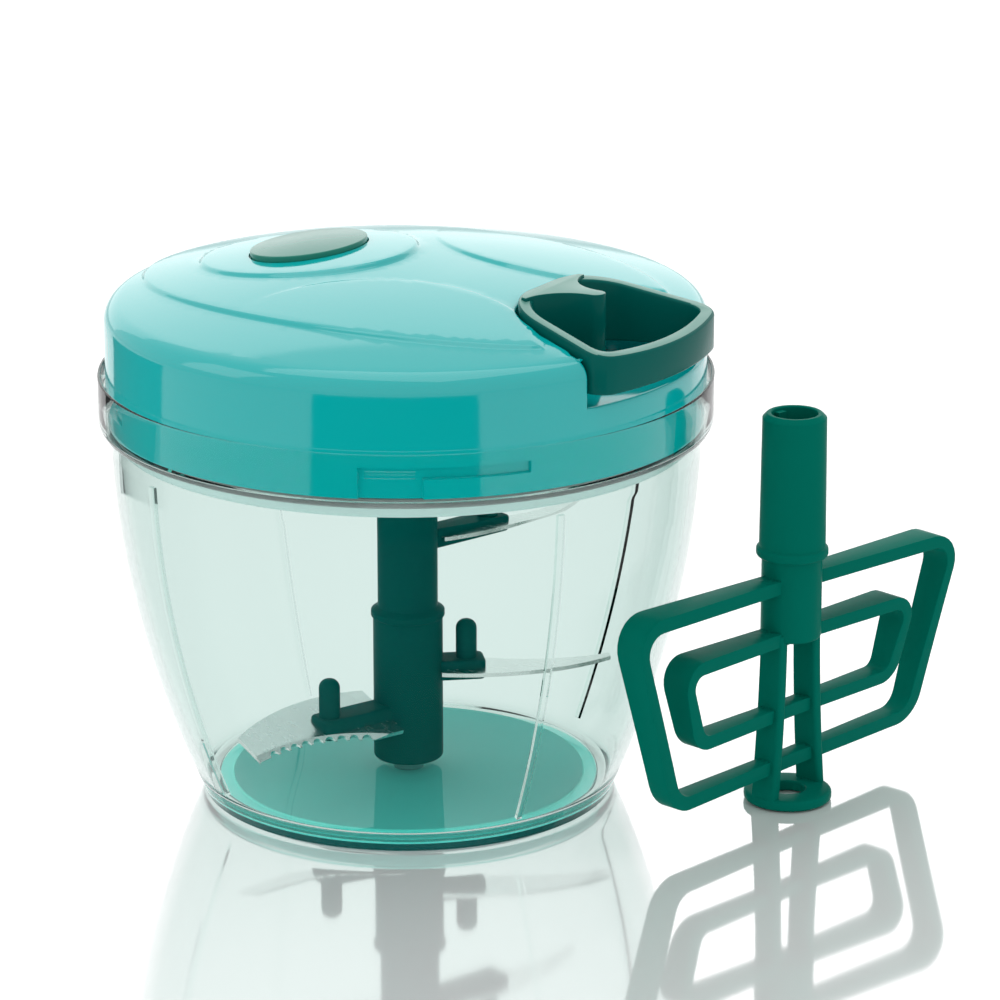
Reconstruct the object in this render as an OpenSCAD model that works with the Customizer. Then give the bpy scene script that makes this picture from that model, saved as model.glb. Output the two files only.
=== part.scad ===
// Manual pull cord food chopper: a clear bowl with a three blade unit, a domed
// lid that holds a cord reel with its return spring and one way clutch, a two
// finger pull handle, and the whisk insert that stands beside the bowl.
// Units are millimetres. The origin is the middle of the base on the table,
// +Z is up and +X is the way the handle is pulled.

/* [Bowl] */
// Width of the bowl's foot rim around the pad
foot_rim = 4; // [3:0.5:6]
// Outer radius of the bowl wall just below the collar
rim_r = 71.6; // [69:0.2:76]
// How far the wall bulges outward at half its height
wall_bulge = 4.3; // [2:0.1:6]
// Wall thickness of the clear bowl
bowl_wall = 2.2; // [1.6:0.1:2.8]
// Height of the ledge that the lid skirt comes down to
ledge_z = 91; // [88:0.5:110]
// Height of the clear collar around the lid skirt
collar_h = 15; // [12:0.5:18]
// Number of ribs down the inside of the bowl
rib_count = 4; // [2:1:8]
// Radius of the non slip pad under the bowl
pad_r = 47; // [42:0.5:52]

/* [Lid] */
// Height of the dome's crest above the ledge
crest_rise = 42; // [41:0.5:48]
// How far the dome falls from its crest to its edge
dome_drop = 8.5; // [7:0.5:12]
// Wall thickness of the lid
lid_wall = 2.2; // [1.8:0.1:2.8]
// Half length of the raised top panel, along the pull
panel_a = 69; // [60:0.5:70]
// Half width of the raised top panel, across the pull
panel_b = 50; // [46:0.5:56]
// Radius of the round boss that carries the oval insert
bezel_r = 26.5; // [24:0.5:30]
// Half length of the oval insert, across the pull
oval_a = 17; // [14:0.1:20]
// Half width of the oval insert, along the pull
oval_b = 13; // [10:0.1:15]

/* [Pull handle] */
// Distance of the handle's inner end from the lid's axis
grip_x = 37.6; // [37:0.2:40]
// Half width of the handle
grip_w = 26; // [24:0.5:30]
// Thickness of the loop's wall
grip_wall = 3.4; // [2.6:0.1:4.2]
// Radius of the pull cord
cord_r = 0.7; // [0.5:0.05:0.75]
// Turns of cord on the drum
cord_turns = 3.25; // [3:0.25:3.5]
// Radius of the drum that the cord winds on
drum_r = 17.2; // [15:0.2:19]

/* [Blades] */
// Radius of the blade unit's upper tube
tube_r = 7.4; // [7:0.1:8]
// Radius of the blade unit's lower hub
hub_r = 8.6; // [8.4:0.1:10]
// Thickness of the steel blades
blade_t = 1; // [0.8:0.1:1.4]
// Reach of the top blade from the axis
top_reach = 58; // [45:0.5:60]
// Reach of the middle blade
middle_reach = 51; // [40:0.5:54]
// Reach of the lowest blade
bottom_reach = 48; // [38:0.5:50]

/* [Whisk] */
// Height of the whisk
whisk_h = 98.5; // [90:0.5:105]
// Half width of the whisk's outer loops at the top
whisk_reach = 57; // [48:0.5:57.5]
// Depth of the whisk's flat bars
bar_d = 9; // [6:0.5:10]
// Thickness of the whisk's bars
bar_t = 3.4; // [2.4:0.1:4]

/* [Hidden] */

$fn = 96;

// Clearances: between bodies, between pieces of one body, of a running fit
gap = 0.3;
seat = 0.1;
run = 0.05;
// Small overlap that joins two solids of one piece
eps = 0.2;

// Length of a cutter that passes right through a piece
through = 60;

// Bowl: foot radius and heights
foot_r = pad_r + foot_rim;
foot_lift = 1.2;
pad_top = 2.1;
floor_z = 4.2;
floor_fillet = 3;
wall_top = ledge_z - 3;
rib_deep = 1.5;
rib_sweep = 1.5;
rib_first = 64;
rib_low = floor_z - 0.5;
rib_top = ledge_z - 4;
boss_r = 5.4;
boss_top = 6.1;
pin_r = 3;
pin_top = 26;
wall_steps = 9;

// Collar and bayonet
lid_r = rim_r + 1.1;
collar_in = lid_r + 0.4;
collar_out = collar_in + 1.5;
collar_top = ledge_z + collar_h;
nub_sweep = 8;
nub_deep = 1;
nub_z = ledge_z + 6;
nub_t = 1.6;
entry_angle = -60;
entry_sweep = 12;
lock_sweep = 20;
track_deep = 1.4;
lug_count = 4;

// Lid heights
skirt_z = ledge_z + gap;
crest_z = ledge_z + crest_rise;
dome_r = lid_r - 1.7;
panel_step = 0.8;
corner_r = 5;
corner_x = lid_r - corner_r;
corner_sweep = 90 - atan(2 * dome_drop * corner_x / pow(dome_r, 2));
corner_z = dome_z(corner_x + corner_r * cos(corner_sweep)) - corner_r * sin(corner_sweep);
bezel_x = -28;
bezel_tilt = atan(2 * dome_drop * -bezel_x / pow(dome_r, 2));
bezel_rise = 0.8;
bezel_t = 3.6;
oval_deep = 1.6;
oval_t = 2.4;
spine_x = 23;
spine_half = 12;
spine_lap = 0.6;
spine_cut_r = (pow(spine_x - bezel_x, 2) + pow(spine_half, 2) - pow(bezel_r - spine_lap, 2))
    / (2 * (bezel_r - spine_lap - spine_half));
spine_y = (bezel_r - spine_lap) * (spine_half + spine_cut_r) / (bezel_r - spine_lap + spine_cut_r);
axle_boss_r = 6;
spring_boss_r = 2.6;

// Pull handle
grip_z = ledge_z + 24.5;
grip_apex_z = ledge_z + 41;
grip_tilt = 12.5;
grip_bow_r = lid_r + 3.3;
grip_inner_r = 16;
grip_corner_r = 7;
grip_inner_y = 6;
grip_corner_x = 70;
pocket_z = ledge_z + 21.5;
pocket_gap = 0.6;
pocket_reach = 30;
open_bow = 200;
pocket_wall = 2;
tongue_end = grip_x + 15.4;
tongue_r = 4.5;
tongue_flare = 9;
knot_r = 2.3;
knot_x = grip_x + 11.9;
cord_z = ledge_z + 29.5;
cord_bore = cord_r + 0.4;

// Reel, spring and clutch
axle_r = 2.5;
axle_low = ledge_z + 17.8;
axle_top = crest_z - 2;
arbor_r = 7.5;
flange_r = 27;
flange_t = 1.8;
groove_z = ledge_z + 22.4;
groove_h = 8;
reel_low = groove_z - flange_t;
reel_high = groove_z + groove_h + flange_t;
arbor_top = crest_z - 5.6;
plate_z = reel_high + 0.6;
plate_t = 1.2;
plate_r = 33.5;
ring_in = 22;
ring_wall = 1.5;
spring_bolt_r = 30.5;
spring_bolt_angles = [60, 180, 300];
spring_bolt_shank = 1.05;
spring_bolt_head = 2.2;
spring_bolt_h = 4.8;
spring_h = 3.4;
spring_t = 0.6;
spring_turns = 5;
spring_steps = 24;
spring_in = arbor_r + 0.8;
spring_out = ring_in - 0.5;
winding_r = drum_r + cord_r + seat;
winding_pitch = 2 * cord_r + 0.5;
cord_rings = 24;
cord_sides = 6;
eyelet_x = grip_x - pocket_gap - pocket_wall;
eyelet_in = cord_bore + 0.2;
eyelet_out = eyelet_in + 1;
bend_x = eyelet_x - 1.4;
lead_angle = -acos(winding_r / bend_x);
wheel_r = 11;
wheel_root = 9;
wheel_teeth = 8;
wheel_low = ledge_z + 16.6;
wheel_top = reel_low - gap;
pawl_x = 10.93;
pawl_y = -13.02;
pawl_pin_r = 1.5;
pawl_eye_r = 2.6;
pawl_tip_r = 0.8;
pawl_tip_x = 10.84;
pawl_tip_y = -1.14;
pawl_low = wheel_low + 0.4;
shaft_r = 5;
dog_core = 3.4;
dog_w = 2.6;
dog_low = ledge_z - 2.5;
dog_top = ledge_z + 10.6;
clip_z = ledge_z + 11.3;
clip_t = 0.8;
clip_r = 7.5;
clip_groove = 4.2;
clip_mouth = 6.2;

// Under plate
cover_z = ledge_z + 1.3;
cover_t = 2;
cover_r = lid_r - lid_wall - 0.2;
turret_r = 13;
turret_in = 10.6;
turret_top = wheel_low - 0.4;
turret_roof = 3.7;
spigot_r = rim_r - bowl_wall - 3.7;
spigot_wall = 1.7;
seal_h = 2.5;
screw_r = 55;
screw_angles = [45, 135, 225, 315];
screw_shank = 1.4;
screw_head = 2.7;
screw_head_h = 1.5;
screw_h = 12.3;
screw_boss_r = 3.6;

// Blade unit
unit_z = 6.5;
step_z = 45;
tube_top = ledge_z + 10;
socket_r = 5.6;
socket_low = ledge_z - 5;
socket_rib = 4;
top_z = 62;
middle_z = 29;
bottom_z = 19;
top_angle = 72;
middle_angle = 40;
bottom_angle = 248;
bottom_pitch = -16;
blade_hollow = 4;
blade_bevel = 2.4;
tooth_r = 1.3;
tooth_pitch = 3.2;
tooth_count = 9;
top_blade_w = 12;
middle_blade_w = 13;
bottom_blade_w = 18;
// Arms: width, thickness, and for each one its reach, its peg's place and height
arm_w = 8;
arm_t = 5;
peg_r = 2.6;
top_arm = [30, 25.5, 4];
middle_arm = [19, 14.5, 9.5];
bottom_arm = [27, 23.5, 9.5];

// Whisk: turn of its loops, twist of its bars, bar depth at the tube, and heights
whisk_turn = 80.2;
whisk_twist = 6;
bar_root = 6;
whisk_tube_r = 7.8;
whisk_low_r = 7.4;
whisk_bead = 1.2;
whisk_step = whisk_h - 34.7;
whisk_socket = 16;
leg_top = 38;
leg_wall = 3.8;
foot_ring_r = 10.8;
foot_ring_t = 2.6;
foot_hole_r = 4.4;
outer_top = 58;
outer_low = 8.7;
outer_low_reach = whisk_reach - 9;
outer_corner = 5.5;
inner_top = 44.6;
inner_low = 21.8;
inner_top_reach = whisk_reach - 14.8;
inner_low_reach = whisk_reach - 19.2;
inner_corner = 5;

// Place of the whisk: its near loop's top corner stands clear of the bowl's wall
whisk_clear = 0.8;
whisk_side = -8.9;
near_turn = whisk_turn - whisk_twist * outer_top / (outer_top + 2);
near_r = wall_r(outer_top) + whisk_clear;
near_reach = whisk_reach - outer_corner;
whisk_x = near_r * cos(whisk_side) + near_reach * cos(near_turn) + bar_d / 2 * sin(near_turn);
whisk_y = near_r * sin(whisk_side) + near_reach * sin(near_turn) - bar_d / 2 * cos(near_turn);

// Radius of the bowl's outer wall at a height: a straight taper plus a bulge
function wall_r(z) =
    let (t = (z - foot_lift) / (wall_top - foot_lift))
    foot_r + (rim_r - foot_r) * t + 4 * wall_bulge * t * (1 - t);

// Height of the lid's dome at a distance from the axis
function dome_z(r) = crest_z - dome_drop * pow(r / dome_r, 2);

// Heights at even steps between two levels
function levels(low, high, n) = [for (i = [0:n]) low + (high - low) * i / n];

// Lid surface from the crest out to the side wall, lowered by a step
function lid_edge(lower, inset) = concat(
    [for (i = [0:7]) let (r = (corner_x - 1) * i / 7) [r, dome_z(r) - lower]],
    [for (i = [5:-1:0])
        let (a = corner_sweep * i / 5)
        [corner_x + (corner_r - inset) * cos(a), corner_z - lower + corner_r * sin(a)]]
);

module ring(outer, inner, low, high) {
    difference() {
        translate([0, 0, low])
            cylinder(r = outer, h = high - low);
        translate([0, 0, low - 1])
            cylinder(r = inner, h = high - low + 2);
    }
}

module sector(inner, outer, low, high, from, sweep) {
    rotate([0, 0, from])
        rotate_extrude(angle = sweep)
            translate([inner, low])
                square([outer - inner, high - low]);
}

// Clear bowl with its collar, ribs, pivot boss and four bayonet nubs
module bowl() {
    inner_floor = wall_r(floor_z + floor_fillet) - bowl_wall;
    color([0.8, 0.92, 0.92, 0.4])
    difference() {
        union() {
            rotate_extrude()
                polygon(concat(
                    [[0, pad_top], [pad_r + seat, pad_top], [pad_r + seat, foot_lift],
                     [foot_r - 1.2, foot_lift]],
                    [for (z = levels(foot_lift + 1.2, wall_top, wall_steps)) [wall_r(z), z]],
                    [[collar_out - 0.7, ledge_z - 0.8], [collar_out, ledge_z + 0.4],
                     [collar_out, collar_top - 0.8], [collar_out - 0.6, collar_top],
                     [collar_in + 0.3, collar_top], [collar_in, collar_top - 0.4],
                     [collar_in, ledge_z], [rim_r - bowl_wall, ledge_z]],
                    [for (z = levels(wall_top, floor_z + floor_fillet, wall_steps))
                        [wall_r(z) - bowl_wall, z]],
                    [[inner_floor - 1, floor_z + 1], [inner_floor - floor_fillet, floor_z],
                     [0, floor_z]]
                ));
            bowl_ribs();
            for (i = [0:lug_count - 1])
                sector(collar_in - nub_deep, collar_in + eps, nub_z, nub_z + nub_t,
                       entry_angle + i * 360 / lug_count - nub_sweep / 2, nub_sweep);
            translate([0, 0, floor_z - eps])
                cylinder(r = boss_r, h = boss_top - floor_z + eps);
        }
        translate([0, 0, pad_top + 0.7])
            cylinder(r = pin_r + run, h = boss_top);
    }
}

module bowl_ribs() {
    for (i = [0:rib_count - 1])
        rotate([0, 0, rib_first + i * 360 / rib_count - rib_sweep / 2])
            rotate_extrude(angle = rib_sweep)
                polygon(concat(
                    [for (z = levels(rib_low, rib_top, wall_steps)) [wall_r(z) - bowl_wall + eps, z]],
                    [for (z = levels(rib_top, rib_low, wall_steps))
                        [wall_r(z) - bowl_wall - rib_deep, z]]
                ));
}

// Teal non slip pad in the recess under the bowl
module base_pad() {
    color([0.1, 0.5, 0.48])
    rotate_extrude()
        polygon([[0, 0], [pad_r - 0.8, 0], [pad_r, 0.8], [pad_r, pad_top - seat], [0, pad_top - seat]]);
}

// Steel pin that the blade unit turns on
module pivot_pin() {
    color([0.75, 0.76, 0.78])
    translate([0, 0, pad_top + 0.8]) {
        cylinder(r = pin_r, h = pin_top - pad_top - 1.8);
        translate([0, 0, pin_top - pad_top - 1.8])
            cylinder(r1 = pin_r, r2 = pin_r - 1, h = 1);
    }
}

// Socket with two ribs that the lid's drive dog turns
module drive_socket(low, high) {
    difference() {
        translate([0, 0, low])
            cylinder(r = socket_r, h = high - low + 1);
        for (side = [-1, 1])
            translate([-dog_w / 2, side > 0 ? socket_rib : -socket_rib - socket_r, low - 1])
                cube([dog_w, socket_r, high - low + 3]);
    }
}

// One arm that holds a blade: a slotted block with an upright round peg
module blade_arm(z, angle, arm) {
    rotate([0, 0, angle])
        translate([0, 0, z]) {
            translate([0, -arm_w / 2, -arm_t / 2])
                cube([arm[0], arm_w, arm_t]);
            translate([arm[1], 0, 0])
                cylinder(r = peg_r, h = arm[2], $fn = 32);
            translate([arm[1], 0, arm[2]])
                sphere(r = peg_r, $fn = 32);
        }
}

module blade_slot(z, angle, pitch) {
    rotate([0, 0, angle])
        translate([hub_r - 1.2, 0, z])
            rotate([pitch, 0, 0])
                translate([0, -arm_w, -blade_t / 2 - seat / 2])
                    cube([top_arm[0] + 2, arm_w * 2, blade_t + seat]);
}

// Moulded blade unit: hub, stepped lip, tube with drive socket, and three arms
module blade_spindle() {
    color([0.0, 0.36, 0.33])
    difference() {
        union() {
            translate([0, 0, unit_z])
                cylinder(r = hub_r, h = step_z - unit_z);
            translate([0, 0, step_z - 2])
                cylinder(r = hub_r + 0.5, h = 1.4);
            translate([0, 0, step_z - 0.6])
                cylinder(r1 = hub_r + 0.5, r2 = tube_r, h = 1.2);
            translate([0, 0, step_z - 1])
                cylinder(r = tube_r, h = tube_top - step_z + 1);
            blade_arm(top_z, top_angle, top_arm);
            blade_arm(middle_z, middle_angle, middle_arm);
            blade_arm(bottom_z, bottom_angle, bottom_arm);
        }
        translate([0, 0, unit_z - 1])
            cylinder(r = pin_r + run, h = pin_top + gap - unit_z + 1);
        drive_socket(socket_low, tube_top);
        blade_slot(top_z, top_angle, 0);
        blade_slot(middle_z, middle_angle, 0);
        blade_slot(bottom_z, bottom_angle, bottom_pitch);
    }
}

// Curved steel blade: straight root, round back, hollow edge with a ground bevel, and any teeth
module blade(reach, root_w, teeth = 0) {
    start = hub_r - 1;
    back_r = reach * 1.1;
    edge_r = reach * 0.95;
    edge_x = reach * 0.72;
    edge_y = -root_w / 2 + blade_hollow - edge_r;
    tooth_step = tooth_pitch / edge_r * 180 / PI;
    mirror([0, 1, 0])
        difference() {
            linear_extrude(blade_t)
                intersection() {
                    translate([start, -root_w / 2])
                        square([reach - start, root_w * 1.4]);
                    translate([reach * 0.42, root_w * 0.62 - back_r])
                        circle(r = back_r, $fn = 128);
                }
            translate([edge_x, edge_y, -1])
                cylinder(r = edge_r, h = blade_t + 2, $fn = 128);
            translate([edge_x, edge_y, blade_t * 0.25])
                cylinder(r1 = edge_r, r2 = edge_r + blade_bevel, h = blade_t, $fn = 128);
            for (i = [0:1:teeth - 1])
                translate([edge_x, edge_y, -1])
                    rotate([0, 0, 90 + tooth_step * (teeth * 0.6 - i)])
                        translate([edge_r, 0, 0])
                            cylinder(r = tooth_r, h = blade_t + 2, $fn = 24);
        }
}

module blade_top() {
    color([0.8, 0.82, 0.84])
    rotate([0, 0, top_angle])
        translate([0, 0, top_z - blade_t / 2])
            blade(top_reach, top_blade_w);
}

module blade_middle() {
    color([0.8, 0.82, 0.84])
    rotate([0, 0, middle_angle])
        translate([0, 0, middle_z - blade_t / 2])
            blade(middle_reach, middle_blade_w);
}

module blade_bottom() {
    color([0.8, 0.82, 0.84])
    rotate([0, 0, bottom_angle])
        translate([0, 0, bottom_z])
            rotate([bottom_pitch, 0, 0])
                translate([0, 0, -blade_t / 2])
                    blade(bottom_reach, bottom_blade_w, tooth_count);
}

// Silicone ring around the under plate's spigot, in the mouth of the bowl
module lid_seal() {
    low = cover_z - gap - seal_h;
    high = cover_z - gap;
    outer = rim_r - bowl_wall - gap;
    color([0.9, 0.93, 0.92])
    rotate_extrude()
        polygon([
            [spigot_r + gap, high], [spigot_r + gap, low],
            [outer - 0.8, low], [outer, low + 0.8], [outer, high]
        ]);
}

// Outline of the pull handle seen from above, grown by a margin
module grip_outline(grow, bow) {
    intersection() {
        hull() {
            for (side = [-1, 1]) {
                translate([grip_x + grip_inner_r, side * grip_inner_y])
                    circle(r = grip_inner_r + grow, $fn = 48);
                translate([grip_corner_x, side * (grip_w - grip_corner_r)])
                    circle(r = grip_corner_r + grow, $fn = 32);
            }
        }
        circle(r = bow, $fn = 128);
    }
}

// Notch outline: the handle's outline drawn outward along the pull
module pocket_outline(grow) {
    hull() {
        grip_outline(grow, open_bow);
        translate([pocket_reach, 0])
            grip_outline(grow, open_bow);
    }
}

module lid_solid(lower) {
    rotate_extrude()
        polygon(concat(lid_edge(lower, 0), [[lid_r, skirt_z], [0, skirt_z]]));
}

module lid_cavity() {
    rotate_extrude()
        polygon(concat(
            lid_edge(panel_step + lid_wall, lid_wall),
            [[lid_r - lid_wall, skirt_z - 1], [0, skirt_z - 1]]
        ));
}

// Frame of the round boss: tilted to follow the dome
module on_bezel() {
    translate([bezel_x, 0, dome_z(-bezel_x) + bezel_rise])
        rotate([0, -bezel_tilt, 0])
            children();
}

// Tracks in the skirt: an entry slot and a locking run for each nub
module bayonet_tracks() {
    for (i = [0:lug_count - 1]) {
        turn = entry_angle + i * 360 / lug_count;
        sector(lid_r - track_deep, lid_r + 1, skirt_z - 1, nub_z + nub_t + 0.6,
               turn - entry_sweep / 2, entry_sweep);
        sector(lid_r - track_deep, lid_r + 1, nub_z - 0.6, nub_z + nub_t + 0.6,
               turn - entry_sweep / 2, entry_sweep + lock_sweep);
    }
}

// Channel from the round boss to the handle, with hollow sides
module spine_outline() {
    difference() {
        translate([bezel_x, -spine_y])
            square([grip_x - bezel_x, 2 * spine_y]);
        for (side = [-1, 1])
            translate([spine_x, side * (spine_half + spine_cut_r)])
                circle(r = spine_cut_r, $fn = 128);
    }
}

// Raised top panel: an ellipse, open along the channel
module panel_outline() {
    difference() {
        scale([1, panel_b / panel_a])
            circle(r = panel_a, $fn = 128);
        spine_outline();
    }
}

module lid_shell() {
    color([0.3, 0.72, 0.71])
    difference() {
        union() {
            difference() {
                union() {
                    lid_solid(panel_step);
                    intersection() {
                        lid_solid(0);
                        linear_extrude(crest_z + through)
                            panel_outline();
                    }
                    translate([0, 0, bezel_rise])
                        intersection() {
                            lid_solid(0);
                            translate([bezel_x, 0, crest_z - dome_drop])
                                cylinder(r = bezel_r, h = dome_drop, $fn = 128);
                        }
                }
                lid_cavity();
            }
            on_bezel()
                translate([0, 0, -bezel_t])
                    scale([oval_b / oval_a, 1, 1])
                        cylinder(r = oval_a + 2, h = bezel_t - 0.3);
            intersection() {
                lid_solid(panel_step);
                translate([0, 0, pocket_z - pocket_wall])
                    linear_extrude(through)
                        pocket_outline(pocket_gap + pocket_wall);
            }
            spring_ring();
            intersection() {
                lid_solid(panel_step);
                cover_bosses();
            }
        }
        translate([0, 0, pocket_z])
            linear_extrude(through)
                pocket_outline(pocket_gap);
        on_bezel()
            translate([0, 0, -oval_deep])
                scale([(oval_b + seat) / oval_a, (oval_a + seat) / oval_a, 1])
                    cylinder(r = oval_a, h = through);
        translate([eyelet_x - 1.5 * pocket_wall, 0, cord_z])
            rotate([0, 90, 0])
                cylinder(r = eyelet_out + seat, h = 4 * pocket_wall, $fn = 32);
        translate([0, 0, axle_low])
            cylinder(r = axle_r + run, h = axle_top - axle_low + seat);
        cover_holes();
        bayonet_tracks();
    }
}

// Spring chamber wall, axle boss and three plate bosses under the dome
module spring_ring() {
    low = plate_z + plate_t + seat;
    intersection() {
        lid_solid(panel_step);
        difference() {
            union() {
                ring(ring_in + ring_wall, ring_in, low, crest_z);
                translate([0, 0, arbor_top + 0.4])
                    cylinder(r = axle_boss_r, h = through);
                for (a = spring_bolt_angles)
                    rotate([0, 0, a])
                        translate([spring_bolt_r, 0, low])
                            cylinder(r = spring_boss_r, h = through, $fn = 32);
            }
            for (a = spring_bolt_angles)
                rotate([0, 0, a])
                    translate([spring_bolt_r, 0, low - 1])
                        cylinder(r = spring_bolt_shank + run, h = spring_bolt_h, $fn = 24);
        }
    }
}

module cover_bosses() {
    for (a = screw_angles)
        rotate([0, 0, a])
            translate([screw_r, 0, cover_z + cover_t + seat])
                cylinder(r = screw_boss_r, h = crest_z - cover_z, $fn = 32);
}

module cover_holes() {
    for (a = screw_angles)
        rotate([0, 0, a])
            translate([screw_r, 0, cover_z])
                cylinder(r = screw_shank + run, h = screw_h, $fn = 24);
}

// Blank oval insert on the round boss
module oval_insert() {
    color([0.0, 0.36, 0.33])
    on_bezel()
        translate([0, 0, seat - oval_deep])
            scale([oval_b / oval_a, 1, 1]) {
                cylinder(r = oval_a, h = oval_t - 0.5);
                translate([0, 0, oval_t - 0.5])
                    cylinder(r1 = oval_a, r2 = oval_a - 0.5, h = 0.5);
            }
}

// Plate that closes the lid from below, with the turret that bears the drive
module under_plate() {
    color([0.85, 0.9, 0.9])
    difference() {
        rotate_extrude()
            polygon([
                [turret_in, cover_z], [spigot_r - spigot_wall, cover_z],
                [spigot_r - spigot_wall, cover_z - seal_h], [spigot_r, cover_z - seal_h],
                [spigot_r, cover_z], [cover_r, cover_z], [cover_r, cover_z + cover_t],
                [turret_r, cover_z + cover_t], [turret_r, turret_top],
                [shaft_r + run, turret_top], [shaft_r + run, turret_top - turret_roof],
                [turret_in, turret_top - turret_roof]
            ]);
        for (a = screw_angles)
            rotate([0, 0, a])
                translate([screw_r, 0, cover_z - 1]) {
                    cylinder(r = screw_shank + 0.2, h = through, $fn = 24);
                    cylinder(r = screw_head + 0.2, h = 2, $fn = 32);
                }
    }
}

// Cross recess in a screw's head, cut upward from below
module cross_recess(reach, width, depth) {
    for (turn = [0, 90])
        rotate([0, 0, turn])
            translate([-reach, -width / 2, -1])
                cube([reach * 2, width, depth + 1]);
}

// Four screws that hold the under plate
module cover_screws() {
    color([0.7, 0.71, 0.73])
    for (a = screw_angles)
        rotate([0, 0, a])
            translate([screw_r, 0, cover_z - 0.6])
                difference() {
                    union() {
                        cylinder(r = screw_head, h = screw_head_h, $fn = 32);
                        cylinder(r = screw_shank, h = screw_h, $fn = 24);
                    }
                    cross_recess(1.5, 0.6, 0.8);
                }
}

// Disc that closes the spring chamber
module spring_plate() {
    color([0.78, 0.79, 0.8])
    difference() {
        translate([0, 0, plate_z])
            cylinder(r = plate_r, h = plate_t);
        translate([0, 0, plate_z - 1])
            cylinder(r = arbor_r + 0.5, h = plate_t + 2);
        for (a = spring_bolt_angles)
            rotate([0, 0, a])
                translate([spring_bolt_r, 0, plate_z - 1])
                    cylinder(r = spring_bolt_shank + seat, h = plate_t + 2, $fn = 24);
    }
}

// Three small screws that hold the spring plate
module spring_screws() {
    color([0.7, 0.71, 0.73])
    for (a = spring_bolt_angles)
        rotate([0, 0, a])
            translate([spring_bolt_r, 0, plate_z - 1.3]) {
                difference() {
                    cylinder(r = spring_bolt_head, h = 1.2, $fn = 32);
                    cross_recess(1.2, 0.5, 0.6);
                }
                translate([0, 0, 1])
                    cylinder(r = spring_bolt_shank, h = spring_bolt_h - 1, $fn = 24);
            }
}

// Flat spiral return spring, one unbroken strip on a formula
module mainspring() {
    last = spring_turns * spring_steps;
    pitch = (spring_out - spring_in - spring_t) / spring_turns;
    side = function (i, shift)
        let (r = spring_in + shift + pitch * i / spring_steps, a = 360 * i / spring_steps)
        [r * cos(a), r * sin(a)];
    inner = [for (i = [0:last]) side(i, 0)];
    outer = [for (i = [0:last]) side(i, spring_t)];
    echo(str("least gap of the spring to itself: ",
             least_gap(outer, inner, spring_steps / 2), " mm"));
    color([0.62, 0.64, 0.66])
    translate([0, 0, plate_z + plate_t + seat])
        linear_extrude(spring_h)
            polygon(concat(inner, [for (i = [last:-1:0]) outer[i]]));
}

// Steel axle pressed into the boss under the crest
module reel_axle() {
    color([0.75, 0.76, 0.78])
    translate([0, 0, axle_low])
        cylinder(r = axle_r, h = axle_top - axle_low);
}

// Bush that guides the cord through the notch wall
module cord_eyelet() {
    color([0.8, 0.81, 0.82])
    translate([eyelet_x, 0, cord_z])
        rotate([0, 90, 0])
            difference() {
                union() {
                    translate([0, 0, -0.9])
                        cylinder(r = eyelet_out + 1, h = 0.8, $fn = 32);
                    translate([0, 0, -0.5])
                        cylinder(r = eyelet_out, h = pocket_wall + 0.4, $fn = 32);
                }
                translate([0, 0, -pocket_wall])
                    cylinder(r = eyelet_in, h = 4 * pocket_wall, $fn = 24);
            }
}

// Outline of the cord post: a round tip that flares into the loop's inner end
module tongue_outline() {
    tip_x = tongue_end - tongue_r;
    start_x = grip_x + grip_wall / 2;
    half = tongue_r + tongue_flare;
    translate([tip_x, 0])
        circle(r = tongue_r, $fn = 48);
    intersection() {
        difference() {
            translate([start_x, -half])
                square([tip_x - start_x, 2 * half]);
            for (side = [-1, 1])
                translate([tip_x, side * half])
                    circle(r = tongue_flare, $fn = 64);
        }
        grip_outline(-grip_wall / 2, grip_bow_r);
    }
}

// Two finger pull handle: a sloping loop with a cord post on its inner side
module pull_handle() {
    color([0.0, 0.36, 0.33])
    difference() {
        union() {
            difference() {
                translate([0, 0, grip_z])
                    linear_extrude(through)
                        grip_outline(0, grip_bow_r);
                translate([0, 0, grip_z - 1])
                    linear_extrude(through + 2)
                        grip_outline(-grip_wall, grip_bow_r - grip_wall);
            }
            translate([0, 0, grip_z])
                linear_extrude(through)
                    tongue_outline();
        }
        translate([grip_x, 0, grip_apex_z])
            rotate([0, grip_tilt, 0])
                translate([-through, -through, 0])
                    cube([3 * through, 2 * through, 2 * through]);
        translate([grip_x - 1, 0, cord_z])
            rotate([0, 90, 0])
                cylinder(r = cord_bore, h = knot_x - grip_x, $fn = 24);
        translate([knot_x - knot_r - seat, 0, cord_z])
            rotate([0, 90, 0])
                cylinder(r = knot_r + seat, h = tongue_end - knot_x + 2 * knot_r, $fn = 32);
    }
}

// Stop on the cord's end, held in the handle's post
module cord_knot() {
    color([0.9, 0.9, 0.88])
    translate([knot_x, 0, cord_z])
        difference() {
            sphere(r = knot_r, $fn = 48);
            translate([-2 * knot_r, 0, 0])
                rotate([0, 90, 0])
                    cylinder(r = cord_r + run, h = 4 * knot_r, $fn = 24);
        }
}

// Cord from the drum through the eyelet to the stop in the handle
module pull_cord() {
    start = [winding_r * cos(lead_angle), winding_r * sin(lead_angle)];
    lead = norm([bend_x - start[0], start[1]]);
    skip = 2 * cord_r + 0.2;
    color([0.93, 0.92, 0.88]) {
        translate([start[0], start[1], cord_z])
            rotate([0, 90, lead_angle + 90])
                translate([0, 0, skip])
                    cylinder(r = cord_r, h = lead - skip, $fn = 24);
        translate([bend_x, 0, cord_z])
            sphere(r = cord_r + run, $fn = 24);
        translate([bend_x, 0, cord_z])
            rotate([0, 90, 0])
                cylinder(r = cord_r, h = knot_x + knot_r + 0.8 - bend_x, $fn = 24);
    }
}

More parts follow.
